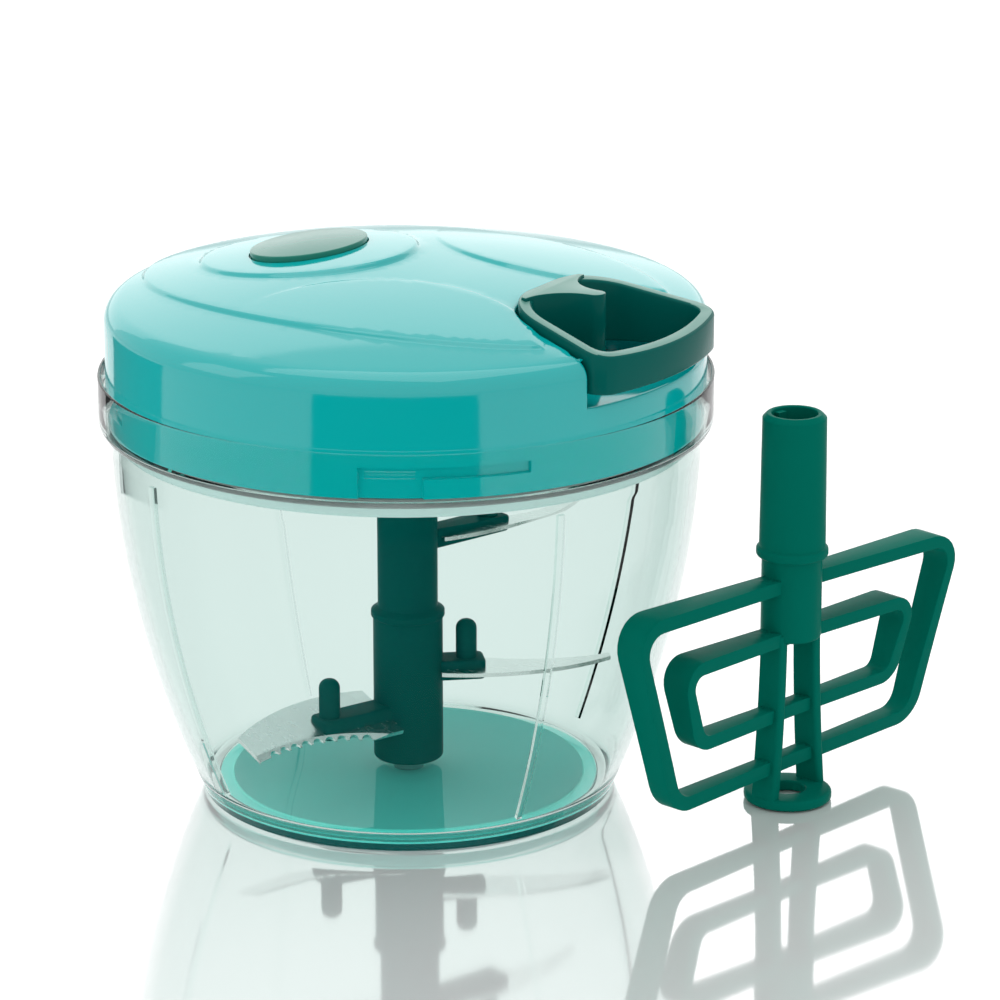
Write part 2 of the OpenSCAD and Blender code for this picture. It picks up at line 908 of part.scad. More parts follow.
// Reel: drum between two flanges, spring arbor above, pawl pins below
module cord_reel() {
    color([0.9, 0.9, 0.86])
    union() {
        rotate_extrude()
            polygon([
                [axle_r + run, reel_low], [flange_r, reel_low], [flange_r, groove_z],
                [drum_r, groove_z], [drum_r, groove_z + groove_h],
                [flange_r, groove_z + groove_h], [flange_r, reel_high],
                [arbor_r, reel_high], [arbor_r, arbor_top], [axle_r + run, arbor_top]
            ]);
        for (turn = [0, 180])
            rotate([0, 0, turn])
                translate([pawl_x, pawl_y, pawl_low])
                    cylinder(r = pawl_pin_r, h = reel_low - pawl_low + eps, $fn = 32);
    }
}

// Least distance from each point of one run to the points of another, some steps further on
function least_gap(one, other, skip) = min([
    for (i = [0:len(one) - 1 - skip]) for (j = [i + skip:1:len(other) - 1]) norm(one[i] - other[j])
]);

// Middle of the cord at an angle on the drum, moved along its own line
function cord_mid(angle, z, along) = [
    winding_r * cos(angle) - along * sin(angle),
    winding_r * sin(angle) + along * cos(angle),
    z
];

// One ring of points around the cord
function cord_ring(angle, z, along) =
    [for (k = [0:cord_sides - 1])
        let (u = cord_r * cos(360 * k / cord_sides), v = cord_r * sin(360 * k / cord_sides))
        cord_mid(angle, z, along) + [u * cos(angle), u * sin(angle), v]];

// Cord wound on the drum in one layer, one unbroken tube with straight ends
module cord_winding() {
    last = round(cord_turns * cord_rings);
    first_angle = lead_angle - 360 * cord_turns;
    low_z = cord_z - cord_turns * winding_pitch;
    way = concat(
        [[first_angle, low_z, -2 * cord_r]],
        [for (i = [0:last])
            [first_angle + 360 * i / cord_rings, low_z + winding_pitch * i / cord_rings, 0]],
        [[lead_angle, cord_z, 2 * cord_r]]
    );
    mids = [for (w = way) cord_mid(w[0], w[1], w[2])];
    rings = [for (w = way) cord_ring(w[0], w[1], w[2])];
    count = len(rings);
    echo(str("least gap of the cord to itself: ",
             least_gap(mids, mids, cord_rings / 2) - 2 * cord_r, " mm"));
    color([0.93, 0.92, 0.88])
    polyhedron(
        points = [for (r = rings) each r],
        faces = concat(
            [[for (k = [cord_sides - 1:-1:0]) k]],
            [for (i = [0:count - 2]) for (k = [0:cord_sides - 1])
                let (next = (k + 1) % cord_sides, low = i * cord_sides, high = low + cord_sides)
                [low + k, low + next, high + next, high + k]],
            [[for (k = [0:cord_sides - 1]) (count - 1) * cord_sides + k]]
        )
    );
}

// Pawl that drives the ratchet wheel one way
module pawl() {
    color([0.72, 0.73, 0.75])
    translate([0, 0, pawl_low])
        difference() {
            linear_extrude(wheel_top - pawl_low)
                hull() {
                    translate([pawl_x, pawl_y])
                        circle(r = pawl_eye_r, $fn = 32);
                    translate([pawl_tip_x, pawl_tip_y])
                        circle(r = pawl_tip_r, $fn = 24);
                }
            translate([pawl_x, pawl_y, -1])
                cylinder(r = pawl_pin_r + run, h = through, $fn = 32);
        }
}

module pawl_front() {
    pawl();
}

module pawl_back() {
    rotate([0, 0, 180])
        pawl();
}

// Ratchet wheel, shaft and drive dog in one piece
module drive_spindle() {
    step = 360 / wheel_teeth;
    color([0.2, 0.24, 0.25])
    difference() {
        union() {
            translate([0, 0, wheel_low])
                linear_extrude(wheel_top - wheel_low)
                    polygon([for (i = [0:wheel_teeth - 1], half = [0, 1])
                        let (a = step * (i + half) - half * 0.5, r = half == 0 ? wheel_r : wheel_root)
                        [r * cos(a), r * sin(a)]]);
            translate([0, 0, dog_top])
                cylinder(r = shaft_r, h = wheel_low - dog_top + eps);
            translate([0, 0, dog_low])
                cylinder(r = dog_core, h = dog_top - dog_low + eps);
            intersection() {
                translate([-shaft_r, -dog_w / 2, dog_low])
                    cube([shaft_r * 2, dog_w, dog_top - dog_low + eps]);
                translate([0, 0, dog_low])
                    cylinder(r = shaft_r, h = dog_top - dog_low + eps);
            }
        }
        translate([0, 0, axle_low - gap])
            cylinder(r = axle_r + run, h = through);
        ring(shaft_r + 1, clip_groove, clip_z, clip_z + clip_t + seat);
    }
}

// Clip in the spindle's groove, under the turret
module spindle_clip() {
    color([0.7, 0.71, 0.73])
    difference() {
        ring(clip_r, clip_groove + seat, clip_z + seat / 2, clip_z + clip_t + seat / 2);
        translate([0, -clip_mouth / 2, clip_z - 1])
            cube([through, clip_mouth, clip_t + 2]);
    }
}

// One loop of the whisk, as a band turned about the axis
module whisk_loop(top, low, top_reach, low_reach, corner) {
    rotate_extrude()
        difference() {
            loop_outline(top, low, top_reach, low_reach, corner);
            loop_outline(top - bar_t, low + bar_t, top_reach - bar_t, low_reach - bar_t, corner - bar_t);
        }
}

module loop_outline(top, low, top_reach, low_reach, corner) {
    intersection() {
        translate([0, low - 1])
            square([top_reach + 1, top - low + 2]);
        hull() {
            translate([0, low])
                square([1, top - low]);
            translate([top_reach - corner, top - corner])
                circle(r = corner, $fn = 40);
            translate([low_reach - corner, low + corner])
                circle(r = corner, $fn = 40);
        }
    }
}

// Whisk insert: socket tube, two legs, foot ring and flat looped bars
module whisk() {
    color([0.0, 0.42, 0.35])
    translate([whisk_x, whisk_y, 0])
        rotate([0, 0, whisk_turn])
            difference() {
                union() {
                    translate([0, 0, whisk_step])
                        cylinder(r1 = whisk_tube_r + 0.3, r2 = whisk_tube_r, h = whisk_h - whisk_step);
                    translate([0, 0, whisk_step - whisk_bead])
                        cylinder(r = whisk_tube_r + 1, h = 2 * whisk_bead);
                    translate([0, 0, leg_top])
                        cylinder(r = whisk_low_r, h = whisk_step - leg_top);
                    ring(foot_ring_r, foot_hole_r, 0, foot_ring_t);
                    whisk_frame();
                }
                drive_socket(whisk_h - whisk_socket, whisk_h);
            }
}

// Legs and loops: turned bands cut by a slightly twisted flat slab
module whisk_frame() {
    bar_reach = whisk_reach + 1;
    intersection() {
        linear_extrude(outer_top + 2, twist = whisk_twist, slices = 8)
            polygon([
                [-bar_reach, -bar_d / 2], [0, -bar_root / 2], [bar_reach, -bar_d / 2],
                [bar_reach, bar_d / 2], [0, bar_root / 2], [-bar_reach, bar_d / 2]
            ]);
        union() {
            ring(foot_hole_r + leg_wall, foot_hole_r, foot_ring_t - eps, leg_top + eps);
            whisk_loop(outer_top, outer_low, whisk_reach, outer_low_reach, outer_corner);
            whisk_loop(inner_top, inner_low, inner_top_reach, inner_low_reach, inner_corner);
        }
    }
}

bowl();
base_pad();
pivot_pin();
blade_spindle();
blade_top();
blade_middle();
blade_bottom();
lid_seal();
lid_shell();
oval_insert();
under_plate();
cover_screws();
spring_plate();
spring_screws();
mainspring();
reel_axle();
cord_eyelet();
pull_handle();
cord_knot();
pull_cord();
cord_reel();
cord_winding();
pawl_front();
pawl_back();
drive_spindle();
spindle_clip();
whisk();
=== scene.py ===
# %% [markdown]
# # A pull cord food chopper
# The chopper is a clear bowl with a turning blade unit, a domed lid that hides a cord reel, a finger handle
# docked in the lid's edge and a loose whisk beside it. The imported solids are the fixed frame: this lesson
# dresses them with smooth, finished surfaces that ride on the same moving bodies.

# %% Load the frame
import math

import bpy
import numpy as np
from mathutils import Matrix, Vector, geometry, kdtree


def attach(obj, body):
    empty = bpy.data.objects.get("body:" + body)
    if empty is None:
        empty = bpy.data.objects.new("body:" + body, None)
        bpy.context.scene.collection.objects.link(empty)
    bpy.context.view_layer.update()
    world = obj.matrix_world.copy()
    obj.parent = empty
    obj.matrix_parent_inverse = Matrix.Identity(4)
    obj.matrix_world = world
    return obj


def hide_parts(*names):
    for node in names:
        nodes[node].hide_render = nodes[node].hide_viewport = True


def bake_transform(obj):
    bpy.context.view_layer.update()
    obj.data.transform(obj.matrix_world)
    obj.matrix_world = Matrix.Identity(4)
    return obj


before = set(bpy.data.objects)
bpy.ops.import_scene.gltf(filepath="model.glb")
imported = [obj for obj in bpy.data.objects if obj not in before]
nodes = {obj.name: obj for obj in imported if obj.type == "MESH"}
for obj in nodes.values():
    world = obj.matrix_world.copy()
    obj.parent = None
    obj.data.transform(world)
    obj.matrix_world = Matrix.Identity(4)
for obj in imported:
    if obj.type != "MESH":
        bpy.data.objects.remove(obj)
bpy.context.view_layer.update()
MM = 0.001

# %% [markdown]
# ## Working by hand, in code
# Most pieces here are turned or drawn. A turned piece could start from a cylinder, but an outline that is
# drawn point by point and spun about an axis gives every step, lip and round in one go. These few helpers
# are the hand movements that most pieces share: draw a line, round its corners, spin it, apply a modifier.

# %% Helpers for drawing and turning


def deselect():
    if bpy.context.object and bpy.context.object.mode != "OBJECT":
        bpy.ops.object.mode_set(mode="OBJECT")
    bpy.ops.object.select_all(action="DESELECT")


def pick(piece):
    deselect()
    piece.select_set(True)
    bpy.context.view_layer.objects.active = piece


def levels(low, high, count):
    return [low + (high - low) * i / count for i in range(count + 1)]


def rounded(corners, steps=5, closed=False):
    """Outline through corners (a, b, radius), with each corner replaced by an arc of its radius."""
    points = []
    last = len(corners) - 1
    for i, (a, b, radius) in enumerate(corners):
        if radius == 0 or (not closed and i in (0, last)):
            points.append((a, b))
            continue
        here = Vector((a, b))
        before = (Vector(corners[i - 1][:2]) - here).normalized()
        after = (Vector(corners[(i + 1) % len(corners)][:2]) - here).normalized()
        half = before.angle(after) / 2
        middle = here + (before + after).normalized() * radius / math.sin(half)
        start = here + before * radius / math.tan(half) - middle
        end = here + after * radius / math.tan(half) - middle
        first = math.atan2(start.y, start.x)
        turn = (math.atan2(end.y, end.x) - first + math.pi) % math.tau - math.pi
        for k in range(steps + 1):
            angle = first + turn * k / steps
            points.append((middle.x + radius * math.cos(angle), middle.y + radius * math.sin(angle)))
    return points


def drawn_line(name, points, closed=False):
    """A line drawn by extruding one vertex from point to point, in millimetres; left in edit mode."""
    deselect()
    bpy.ops.mesh.primitive_plane_add(size=MM)
    line = bpy.context.object
    line.name = name
    bpy.ops.object.mode_set(mode="EDIT")
    bpy.ops.mesh.select_all(action="SELECT")
    bpy.ops.mesh.merge(type="CENTER")
    here = Vector(points[0]) * MM
    bpy.ops.transform.translate(value=here)
    for point in points[1:]:
        there = Vector(point) * MM
        bpy.ops.mesh.extrude_vertices_move(TRANSFORM_OT_translate={"value": there - here})
        here = there
    bpy.ops.mesh.select_all(action="SELECT")
    if closed:
        bpy.ops.mesh.edge_face_add()
    return line


def weld():
    bpy.ops.mesh.select_all(action="SELECT")
    bpy.ops.mesh.remove_doubles(threshold=0.005 * MM)
    bpy.ops.mesh.normals_make_consistent(inside=False)


def turned(name, outline, steps, centre=(0, 0), closed=False):
    """A piece turned about a vertical axis from an outline of (radius, height) points."""
    x, y = centre
    points = [(x + r, y, z) for r, z in outline]
    if closed:
        points.append(points[0])
    piece = drawn_line(name, points)
    bpy.ops.mesh.spin(steps=steps, angle=math.tau, center=(x * MM, y * MM, 0), axis=(0, 0, 1))
    weld()
    bpy.ops.object.mode_set(mode="OBJECT")
    return piece


def slab(name, outline, low, high):
    """A flat piece: a closed outline of (x, y) points, filled and extruded from one height to another."""
    piece = drawn_line(name, [(x, y, low) for x, y in outline], closed=True)
    bpy.ops.mesh.extrude_region_move(TRANSFORM_OT_translate={"value": (0, 0, (high - low) * MM)})
    weld()
    bpy.ops.object.mode_set(mode="OBJECT")
    return piece


def modify(piece, kind, **settings):
    """Adds a modifier with its settings and applies it."""
    pick(piece)
    modifier = piece.modifiers.new(kind.lower(), kind)
    for key, value in settings.items():
        setattr(modifier, key, value)
    bpy.ops.object.modifier_apply(modifier=modifier.name)


def round_edges(piece, width, segments=3, angle=35):
    modify(piece, "BEVEL", width=width * MM, segments=segments, limit_method="ANGLE",
           angle_limit=math.radians(angle), harden_normals=False)


def combine(piece, other, operation):
    modify(piece, "BOOLEAN", object=other, operation=operation, solver="EXACT")
    bpy.data.objects.remove(other)


def join(piece, others):
    pick(piece)
    for other in others:
        other.select_set(True)
    bpy.ops.object.join()
    return piece


def smooth(piece, angle=30):
    pick(piece)
    bpy.ops.object.shade_smooth_by_angle(angle=math.radians(angle))


def reshape(piece, rule):
    """Moves each vertex by a rule from its place in millimetres to a new one."""
    for vertex in piece.data.vertices:
        vertex.co = Vector(rule(*(vertex.co / MM))) * MM
    piece.data.update()


def deliver(piece, body, slot, material, *replaced):
    """Gives a finished piece its finish, its moving body and the solid that it stands for."""
    piece.data.materials.clear()
    piece.data.materials.append(material)
    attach(piece, body)
    if replaced:
        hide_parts(*replaced)
    print(f"{piece.name}: {len(piece.data.polygons)} faces on body {body}")


print("helpers ready")

# %% [markdown]
# ## Camera
# The camera stands where the photograph's did: about a metre away, 17 degrees above the table and turned 33
# degrees toward the handle's side, with a long lens. Its place was worked out from the ellipses of the collar
# and the base, so the outlines meet without shifting the lens.

# %% Camera
camera_data = bpy.data.cameras.new("photo_camera")
camera_data.sensor_width = 36
camera_data.lens = 167
camera = bpy.data.objects.new("photo_camera", camera_data)
bpy.context.scene.collection.objects.link(camera)
camera.location = (0.5893, -0.9074, 0.4092)
camera.rotation_euler = (math.radians(90 - 17.3), 0, math.radians(31.8))
bpy.context.scene.camera = camera
bpy.context.scene.view_settings.view_transform = "Standard"
print("camera at", tuple(camera.location))

# %% [markdown]
# ## Colours and shader nodes
# Colours are picked as sRGB hex, the way a colour chart gives them, but shaders add up light and want linear
# values, so one function converts. A second one adds a node with its settings, fixed inputs and links.

# %% Colour and node helpers


def linear(hex_colour, alpha=1.0):
    channels = [int(hex_colour[i:i + 2], 16) / 255 for i in (1, 3, 5)]
    return [c / 12.92 if c <= 0.04045 else ((c + 0.055) / 1.055) ** 2.4 for c in channels] + [alpha]


def add_node(tree, kind, inputs=None, **settings):
    """Adds a node; an input that is a socket is linked, and any other value is set."""
    node = tree.nodes.new(kind)
    for key, value in settings.items():
        setattr(node, key, value)
    for key, value in (inputs or {}).items():
        if isinstance(value, bpy.types.NodeSocket):
            tree.links.new(value, node.inputs[key])
        else:
            node.inputs[key].default_value = value
    return node


def new_material(name):
    """An empty material with its Principled shader, Object coordinates and node tree."""
    material = bpy.data.materials.new(name)
    material.use_nodes = True
    tree = material.node_tree
    shader = tree.nodes["Principled BSDF"]
    place = add_node(tree, "ShaderNodeTexCoord").outputs["Object"]
    return material, tree, shader, place


def per_metre(size_mm):
    """Scale of a noise whose spots are this many millimetres apart."""
    return 1000 / size_mm


print("hex 808080 is", round(linear("#808080")[0], 3), "linear")

# %% [markdown]
# ## Plastics
# Lid, handle, whisk and blade unit are injection moulded: ABS for the lid and PP for the green pieces. What
# the eye gets is an even colour with a clear gloss, a faint cloudiness from the melt's flow and a very fine
# orange peel from the mould. All of these differ only in numbers, so one function makes them.

# %% Moulded plastics


def moulded_plastic(name, colour, shade, roughness, peel_mm, peel_depth, mirror=0.5):
    """Moulded plastic: two close tones that drift with the melt, uneven gloss and a fine orange peel."""
    material, tree, shader, place = new_material(name)
    flow = add_node(tree, "ShaderNodeTexNoise", {"Vector": place, "Scale": per_metre(45), "Detail": 2.0})
    tone = add_node(tree, "ShaderNodeMix", {"Factor": flow.outputs["Fac"], "A": linear(colour),
                                            "B": linear(shade)}, data_type="RGBA")
    tree.links.new(tone.outputs["Result"], shader.inputs["Base Color"])
    wipe = add_node(tree, "ShaderNodeTexNoise", {"Vector": place, "Scale": per_metre(8), "Detail": 4.0})
    gloss = add_node(tree, "ShaderNodeMapRange", {"Value": wipe.outputs["Fac"], "To Min": roughness * 0.8,
                                                  "To Max": roughness * 1.25})
    tree.links.new(gloss.outputs["Result"], shader.inputs["Roughness"])
    peel = add_node(tree, "ShaderNodeTexNoise", {"Vector": place, "Scale": per_metre(peel_mm), "Detail": 1.0})
    bump = add_node(tree, "ShaderNodeBump", {"Height": peel.outputs["Fac"], "Distance": peel_depth * MM,
                                             "Strength": 0.5})
    tree.links.new(bump.outputs["Normal"], shader.inputs["Normal"])
    shader.inputs["IOR"].default_value = 1.5
    shader.inputs["Specular IOR Level"].default_value = mirror
    return material


# Turquoise ABS, polished mould: strong saturated colour under a mirror-like skin
turquoise_abs = moulded_plastic("turquoise_abs", "#00B0B0", "#00B4B3", 0.08, 6.0, 0.01, 0.7)
# Dark green polypropylene of the handle: deep colour and a low, waxy gloss
green_pp = moulded_plastic("green_polypropylene", "#005A53", "#006059", 0.2, 3.0, 0.012, 0.06)
# The handle's upper rim is finely grained for grip; its paler colour is painted top light, for the light that
# falls on its upward faces
grained_top_lit_pp = moulded_plastic("grained_top_lit_polypropylene", "#5A9286", "#60988B", 0.35, 0.8, 0.02, 0.5)
# Dark green polypropylene from a matt mould, for the whisk: all colour and hardly any mirror
satin_pp = moulded_plastic("satin_polypropylene", "#00695A", "#007060", 0.3, 2.0, 0.015, 0.01)
# A darker copy of the whisk's green, for the blade unit: painted shade, for its place inside the bowl under
# the lid
shaded_unit_pp = moulded_plastic("shaded_unit_polypropylene", "#00524E", "#005853", 0.3, 2.0, 0.015, 0.01)
# Grey-green polypropylene of the oval, lighter and a little softer in gloss than the handle
oval_pp = moulded_plastic("grey_green_polypropylene", "#0A7868", "#107F6E", 0.2, 3.0, 0.012, 0.25)
# Pale satin ABS of the plate under the lid
pale_abs = moulded_plastic("pale_satin_abs", "#E9F3F2", "#EEF6F5", 0.35, 1.5, 0.02)
# Natural acetal of the reel: milky white and waxy
natural_acetal = moulded_plastic("natural_acetal", "#E8E6DC", "#E2E0D4", 0.4, 1.2, 0.02)
# Glass filled nylon of the drive: dark, dry surface
dark_nylon = moulded_plastic("glass_filled_nylon", "#31393B", "#3A4345", 0.5, 0.6, 0.03)
# Teal thermoplastic rubber of the pad: matt and soft. The teal is its own colour, but its great paleness is
# painted light, for the light that the lid keeps off the pad
teal_rubber = moulded_plastic("teal_rubber", "#5EF8EC", "#62FAEE", 0.55, 0.8, 0.03)
# The pad's edge: painted shade, the same rubber darker and with less mirror on its side faces
shaded_pad_edge = moulded_plastic("shaded_pad_edge_rubber", "#00807F", "#008683", 0.55, 0.8, 0.03, 0.2)
# Translucent silicone of the seal: soft, with a pale teal cast
seal_silicone = moulded_plastic("white_silicone", "#CDEAE6", "#D4EEEA", 0.45, 1.0, 0.02)
print("plastics:", turquoise_abs.name, green_pp.name, pale_abs.name, natural_acetal.name, dark_nylon.name)

# %% [markdown]
# ## Clear plastic
# The bowl is styrene acrylonitrile, a hard clear plastic with a faint aqua cast that only shows where light
# runs a long way through it, at edges and folds. A tint on the surface would colour it evenly like a foil,
# so the tint is light taken away inside the wall, and the surface itself is left nearly white. The wall bends
# light less here than the real plastic, or too much of it would be trapped between the thin wall's faces.

# %% Clear styrene acrylonitrile
clear_san, tree, shader, place = new_material("clear_styrene_acrylonitrile")
ripple = add_node(tree, "ShaderNodeTexNoise", {"Vector": place, "Scale": per_metre(35), "Detail": 1.0})
bump = add_node(tree, "ShaderNodeBump", {"Height": ripple.outputs["Fac"], "Distance": 0.02 * MM,
                                         "Strength": 0.4})
tree.links.new(bump.outputs["Normal"], shader.inputs["Normal"])
haze = add_node(tree, "ShaderNodeTexNoise", {"Vector": place, "Scale": per_metre(12), "Detail": 3.0})
veil = add_node(tree, "ShaderNodeMapRange", {"Value": haze.outputs["Fac"], "To Min": 0.0, "To Max": 0.03})
tree.links.new(veil.outputs["Result"], shader.inputs["Roughness"])
shader.inputs["Base Color"].default_value = linear("#F4FCFA")
shader.inputs["Transmission Weight"].default_value = 1.0
shader.inputs["IOR"].default_value = 1.22
shader.inputs["Specular Tint"].default_value = (0.12, 0.12, 0.12, 1)
tint = add_node(tree, "ShaderNodeVolumeAbsorption", {"Color": linear("#59AA9C"), "Density": 32.0})
tree.links.new(tint.outputs["Volume"], tree.nodes["Material Output"].inputs["Volume"])
print("clear plastic:", clear_san.name)

# %% [markdown]
# ## Metals and cord
# The blades are rolled stainless strip, polished and then ground along the edge, so fine lines run along
# them. Pins are ground round, screws and plates are zinc plated and the springs are blued. The cord is a
# braided polyester line: its two strand directions cross in a small diamond pattern.

# %% Steels


def ground_steel(name, colour, roughness, line_mm, stretch, depth):
    """Steel with fine grinding lines: noise drawn out along one direction drives gloss and bump."""
    material, tree, shader, place = new_material(name)
    drawn = add_node(tree, "ShaderNodeMapping", {"Vector": place, "Scale": stretch})
    lines = add_node(tree, "ShaderNodeTexNoise", {"Vector": drawn.outputs["Vector"],
                                                  "Scale": per_metre(line_mm), "Detail": 3.0})
    gloss = add_node(tree, "ShaderNodeMapRange", {"Value": lines.outputs["Fac"], "To Min": roughness * 0.7,
                                                  "To Max": roughness * 1.4})
    tree.links.new(gloss.outputs["Result"], shader.inputs["Roughness"])
    bump = add_node(tree, "ShaderNodeBump", {"Height": lines.outputs["Fac"], "Distance": depth * MM,
                                             "Strength": 0.3})
    tree.links.new(bump.outputs["Normal"], shader.inputs["Normal"])
    stain = add_node(tree, "ShaderNodeTexNoise", {"Vector": place, "Scale": per_metre(10), "Detail": 2.0})
    duller = [0.9 * c for c in linear(colour)[:3]] + [1]
    tone = add_node(tree, "ShaderNodeMix", {"Factor": stain.outputs["Fac"], "A": linear(colour), "B": duller},
                    data_type="RGBA")
    tree.links.new(tone.outputs["Result"], shader.inputs["Base Color"])
    shader.inputs["Metallic"].default_value = 1.0
    return material


# Polished stainless strip; its lines are drawn 0.8 mm apart, coarser than real ones, so that they show
blade_steel = ground_steel("polished_stainless", "#EEF0EF", 0.24, 0.8, (0.15, 1.0, 1.0), 0.01)
# Ground round pins, with turning marks around them
pin_steel = ground_steel("ground_steel_pin", "#C9CCCF", 0.2, 0.5, (0.2, 0.2, 1.0), 0.01)
# Zinc plate: soft grey with a slight cloud
zinc_plate = ground_steel("zinc_plated_steel", "#B9BDC0", 0.3, 2.0, (1.0, 1.0, 1.0), 0.01)
# Blued spring strip
spring_steel = ground_steel("blued_spring_steel", "#7F868C", 0.25, 0.5, (1.0, 1.0, 0.2), 0.01)
print("steels:", blade_steel.name, pin_steel.name, zinc_plate.name, spring_steel.name)

# %% Braided cord
braided_cord, tree, shader, place = new_material("braided_polyester")
STRAND_MM = 0.5
weave = []
for lean in (40, -40):
    turn = add_node(tree, "ShaderNodeMapping", {"Vector": place, "Rotation": (0, math.radians(lean), 0)})
    weave.append(add_node(tree, "ShaderNodeTexWave", {"Vector": turn.outputs["Vector"],
                                                      "Scale": per_metre(STRAND_MM) / math.tau}))
crossing = add_node(tree, "ShaderNodeMath", {0: weave[0].outputs["Fac"], 1: weave[1].outputs["Fac"]},
                    operation="MAXIMUM")
shade = add_node(tree, "ShaderNodeMix", {"Factor": crossing.outputs["Value"], "A": linear("#C9C5B8"),
                                         "B": linear("#F1EFE8")}, data_type="RGBA")
tree.links.new(shade.outputs["Result"], shader.inputs["Base Color"])
bump = add_node(tree, "ShaderNodeBump", {"Height": crossing.outputs["Value"], "Distance": 0.1 * MM})
tree.links.new(bump.outputs["Normal"], shader.inputs["Normal"])
shader.inputs["Roughness"].default_value = 0.7
shader.inputs["Sheen Weight"].default_value = 0.3
print("cord:", braided_cord.name)

# %% [markdown]
# ## Bowl
# The bowl is one moulding: a wall that widens upward with a slight belly, a collar for the lid's skirt, four
# thin ribs down the inside and four small nubs for the lid's bayonet. A cup could be lathed as a single
# skin and thickened, but light bends twice in a clear wall, so its inner and outer face are both drawn, and
# ribs and nubs are pushed out of the inner face so that no second surface is left inside the plastic.

# %% Bowl
FOOT_R, RIM_R, WALL_BULGE, BOWL_WALL = 51.0, 71.6, 4.3, 2.2
FOOT_LIFT, FOOT_LOW, PAD_TOP, FLOOR_Z, WALL_TOP, LEDGE_Z, COLLAR_TOP = 1.2, 0.25, 2.1, 4.2, 88.0, 94.4, 106.0
PAD_R, COLLAR_IN, COLLAR_OUT = 47.1, 73.8, 74.6
BOSS_R, BOSS_TOP = 5.4, 6.1
RIB_DEEP, RIB_FIRST, RIB_LOW, RIB_TOP = 1.0, 63.75, 6.0, 87.0
NUB_LOW, NUB_HIGH, NUB_DEEP, NUB_FIRST, NUB_HALF = 100.2, 101.8, 0.9, -60.0, 4.0


def wall_r(z):
    t = (z - FOOT_LIFT) / (WALL_TOP - FOOT_LIFT)
    return FOOT_R + (RIM_R - FOOT_R) * t + 4 * WALL_BULGE * t * (1 - t)


inner_foot = wall_r(FLOOR_Z) - BOWL_WALL
under_side = rounded([(0, PAD_TOP, 0), (PAD_R, PAD_TOP, 0.2), (PAD_R, FOOT_LOW, 0.3),
                      (FOOT_R - 0.3, FOOT_LOW, 0.8), (wall_r(4.0), 4.0, 0)])
outer_wall = [(wall_r(z), z) for z in levels(6.0, WALL_TOP - 2, 28)]
collar = rounded([(wall_r(WALL_TOP - 1), WALL_TOP - 1, 0), (RIM_R + 0.2, LEDGE_Z - 1.7, 0.5),
                  (COLLAR_OUT - 0.5, LEDGE_Z - 0.9, 0.5), (COLLAR_OUT, LEDGE_Z + 0.3, 0.4),
                  (COLLAR_OUT, COLLAR_TOP, 0.35), (COLLAR_IN, COLLAR_TOP, 0.3), (COLLAR_IN, NUB_HIGH, 0),
                  (COLLAR_IN, NUB_LOW, 0), (COLLAR_IN, LEDGE_Z, 0.4), (RIM_R - BOWL_WALL, LEDGE_Z, 0.6),
                  (wall_r(WALL_TOP) - BOWL_WALL, WALL_TOP, 0)])
inner_wall = [(wall_r(z) - BOWL_WALL, z) for z in levels(RIB_TOP, FLOOR_Z + 3.4, 28)]
bowl_floor = rounded([(wall_r(FLOOR_Z + 3.2) - BOWL_WALL, FLOOR_Z + 3.2, 0), (inner_foot, FLOOR_Z, 3.0),
                      (BOSS_R, FLOOR_Z, 0.8), (BOSS_R, BOSS_TOP, 0.4), (0, BOSS_TOP, 0)])
bowl = turned("bowl_clear", under_side + outer_wall + collar + inner_wall + bowl_floor, 240)


def push_out(piece, depth, belongs):
    """Extrudes the faces that a rule picks by angle, radius and height along their normals."""
    pick(piece)
    bpy.ops.object.mode_set(mode="EDIT")
    bpy.ops.mesh.select_all(action="DESELECT")
    bpy.ops.object.mode_set(mode="OBJECT")
    for face in piece.data.polygons:
        x, y, z = face.center / MM
        face.select = belongs(math.degrees(math.atan2(y, x)), math.hypot(x, y), z)
    chosen = sum(face.select for face in piece.data.polygons)
    bpy.ops.object.mode_set(mode="EDIT")
    bpy.ops.mesh.select_mode(type="FACE")
    bpy.ops.mesh.extrude_region_shrink_fatten(TRANSFORM_OT_shrink_fatten={"value": depth * MM})
    bpy.ops.mesh.select_mode(type="VERT")
    bpy.ops.object.mode_set(mode="OBJECT")
    return chosen


def quarter_off(angle, first):
    """How far an angle is from the nearest of four places a quarter turn apart."""
    return abs((angle - first + 45) % 90 - 45)


ribs = push_out(bowl, RIB_DEEP, lambda angle, r, z: RIB_LOW < z < RIB_TOP and r < wall_r(z) - 1
                and r > wall_r(z) - 4 and quarter_off(angle, RIB_FIRST) < 0.5)
nubs = push_out(bowl, NUB_DEEP, lambda angle, r, z: NUB_LOW < z < NUB_HIGH and abs(r - COLLAR_IN) < 0.3
                and quarter_off(angle, NUB_FIRST) < NUB_HALF)
smooth(bowl, 28)
deliver(bowl, "bowl", "clear_plastic", clear_san, "bowl")
# Light passes the clear wall freely, so that it doesn't shade what stands inside
bowl.visible_shadow = False
bowl.visible_diffuse = False
print("rib faces:", ribs, "nub faces:", nubs)

# %% [markdown]
# ## Pad
# A rubber pad in the recess under the bowl keeps it from sliding. It is turned in one go: a thin edge that
# grips the recess and a raised disc that shows through the bowl's floor. Its edge gets a darker colour:
# painted shade.

